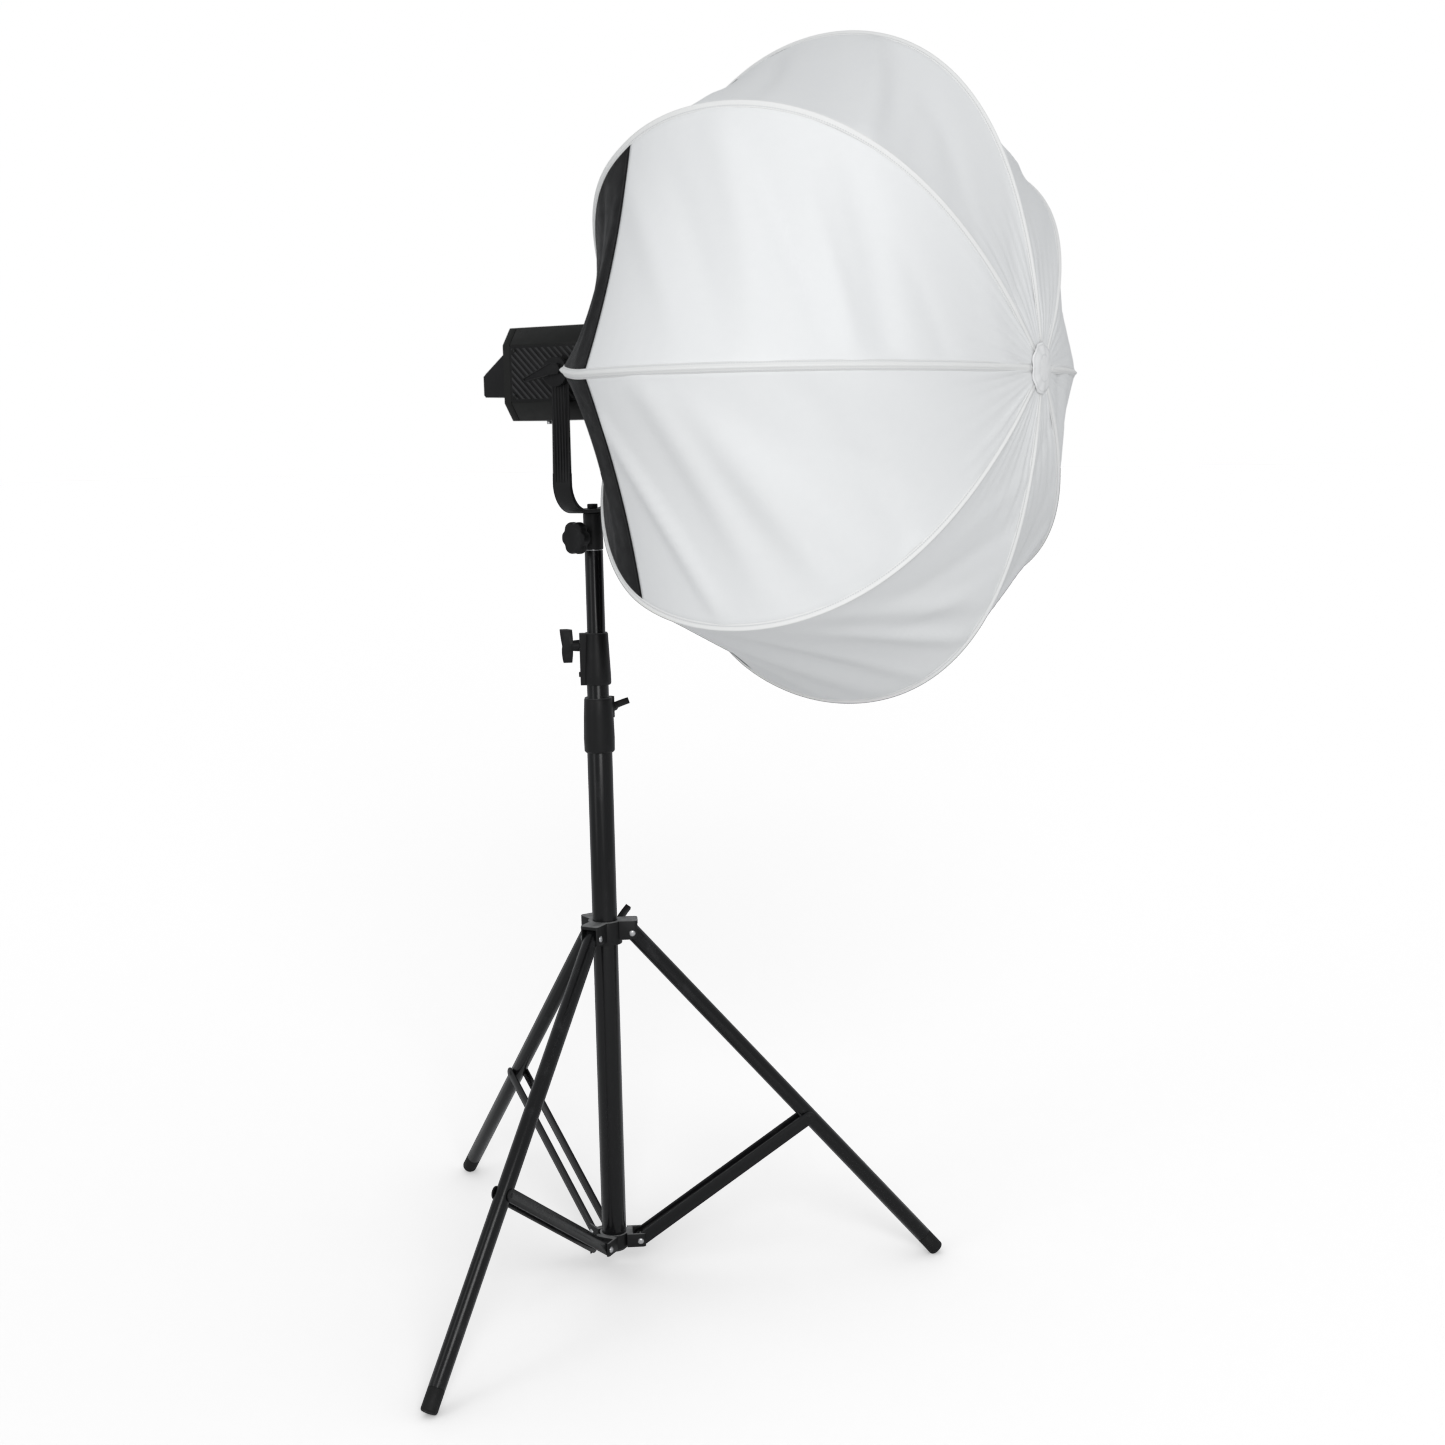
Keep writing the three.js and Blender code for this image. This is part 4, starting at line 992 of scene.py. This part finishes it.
def scalloped_knob():
    """The socket screw's round grip with six shallow hollows and softly rounded rims."""
    joint = JOINTS["socket_screw_turn"]
    axis, at = Vector(joint["axis"]).normalized(), Vector(joint["pos_m"])
    boss_face, joint_place = 0.0173, 0.030                # both from the stand's axis
    face = boss_face - joint_place
    hollows, sides, radius, stand = 6, 96, 0.0230, 0.0090
    levels = [(0.62, 0.0), (0.88, 0.0), (0.97, 0.0012), (1.0, 0.0035), (1.0, 0.0095), (0.97, 0.0118),
              (0.89, 0.0130), (0.62, 0.0127), (0.55, 0.0119), (0.0, 0.0119)]
    verts = []
    for share, z in levels:
        for k in range(sides):
            a = 2 * math.pi * k / sides
            dip = 0.13 * (0.5 - 0.5 * math.cos(hollows * a)) ** 2.2 * max(0.0, share - 0.55) / 0.45
            r = radius * max(share - dip, 0.001)
            verts.append((r * math.cos(a), r * math.sin(a), z))
    faces = grid_faces(len(levels), sides, closed=True)
    faces.append(tuple(reversed(range(sides))))
    faces.append(tuple(range(len(verts) - sides, len(verts))))
    to_knob = toward(axis, at + axis * (face + stand))
    neck = lathe([(0, -0.0098), (0.0100, -0.0098), (0.0108, -0.005), (0.0132, 0.0002), (0, 0.0002)], 36)
    shank = lathe([(0, -0.0145), (0.0029, -0.0145), (0.0029, -0.0095), (0, -0.0095)], 20)
    parts = [placed((verts, faces), to_knob), placed(neck, to_knob), placed(shank, to_knob)]
    knob = merged_piece("socket_knob_grip", parts, "socket_screw", SOFT_PLASTIC)
    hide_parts("socket_knob")


def lever_rim():
    """Raised edges along the tilt lever's arm, a little lighter than the lever as a painted highlight."""
    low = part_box("tilt_lever")[0]
    outline = [(-0.009, 0.011), (0.002, 0.012), (0.046, -0.007), (0.0475, -0.010), (0.044, -0.012),
               (0.004, -0.0045)]
    parts = []
    for p, q in zip(outline, outline[1:]):
        start, end = Vector(p), Vector(q)
        run = (end - start).normalized()
        side = Vector((-run.y, run.x)) * 0.0011
        inner = [start, end, end - side, start - side]
        inner = [(v.x, v.y) for v in inner]
        verts, faces = prism(inner, 0, 0.0008, 0.0001)
        parts.append(([(low.x - z, TILT.y + y, TILT.z + h) for y, h, z in verts], faces))
    merged_piece("lever_rim", parts, "lever", LEVER_RIM_HIGHLIGHT)


# ---- build ----
place_camera()
make_stage()
dress_nodes()
build_cloth()
lamp_details()
lever_rim()
stand_details()
scalloped_knob()
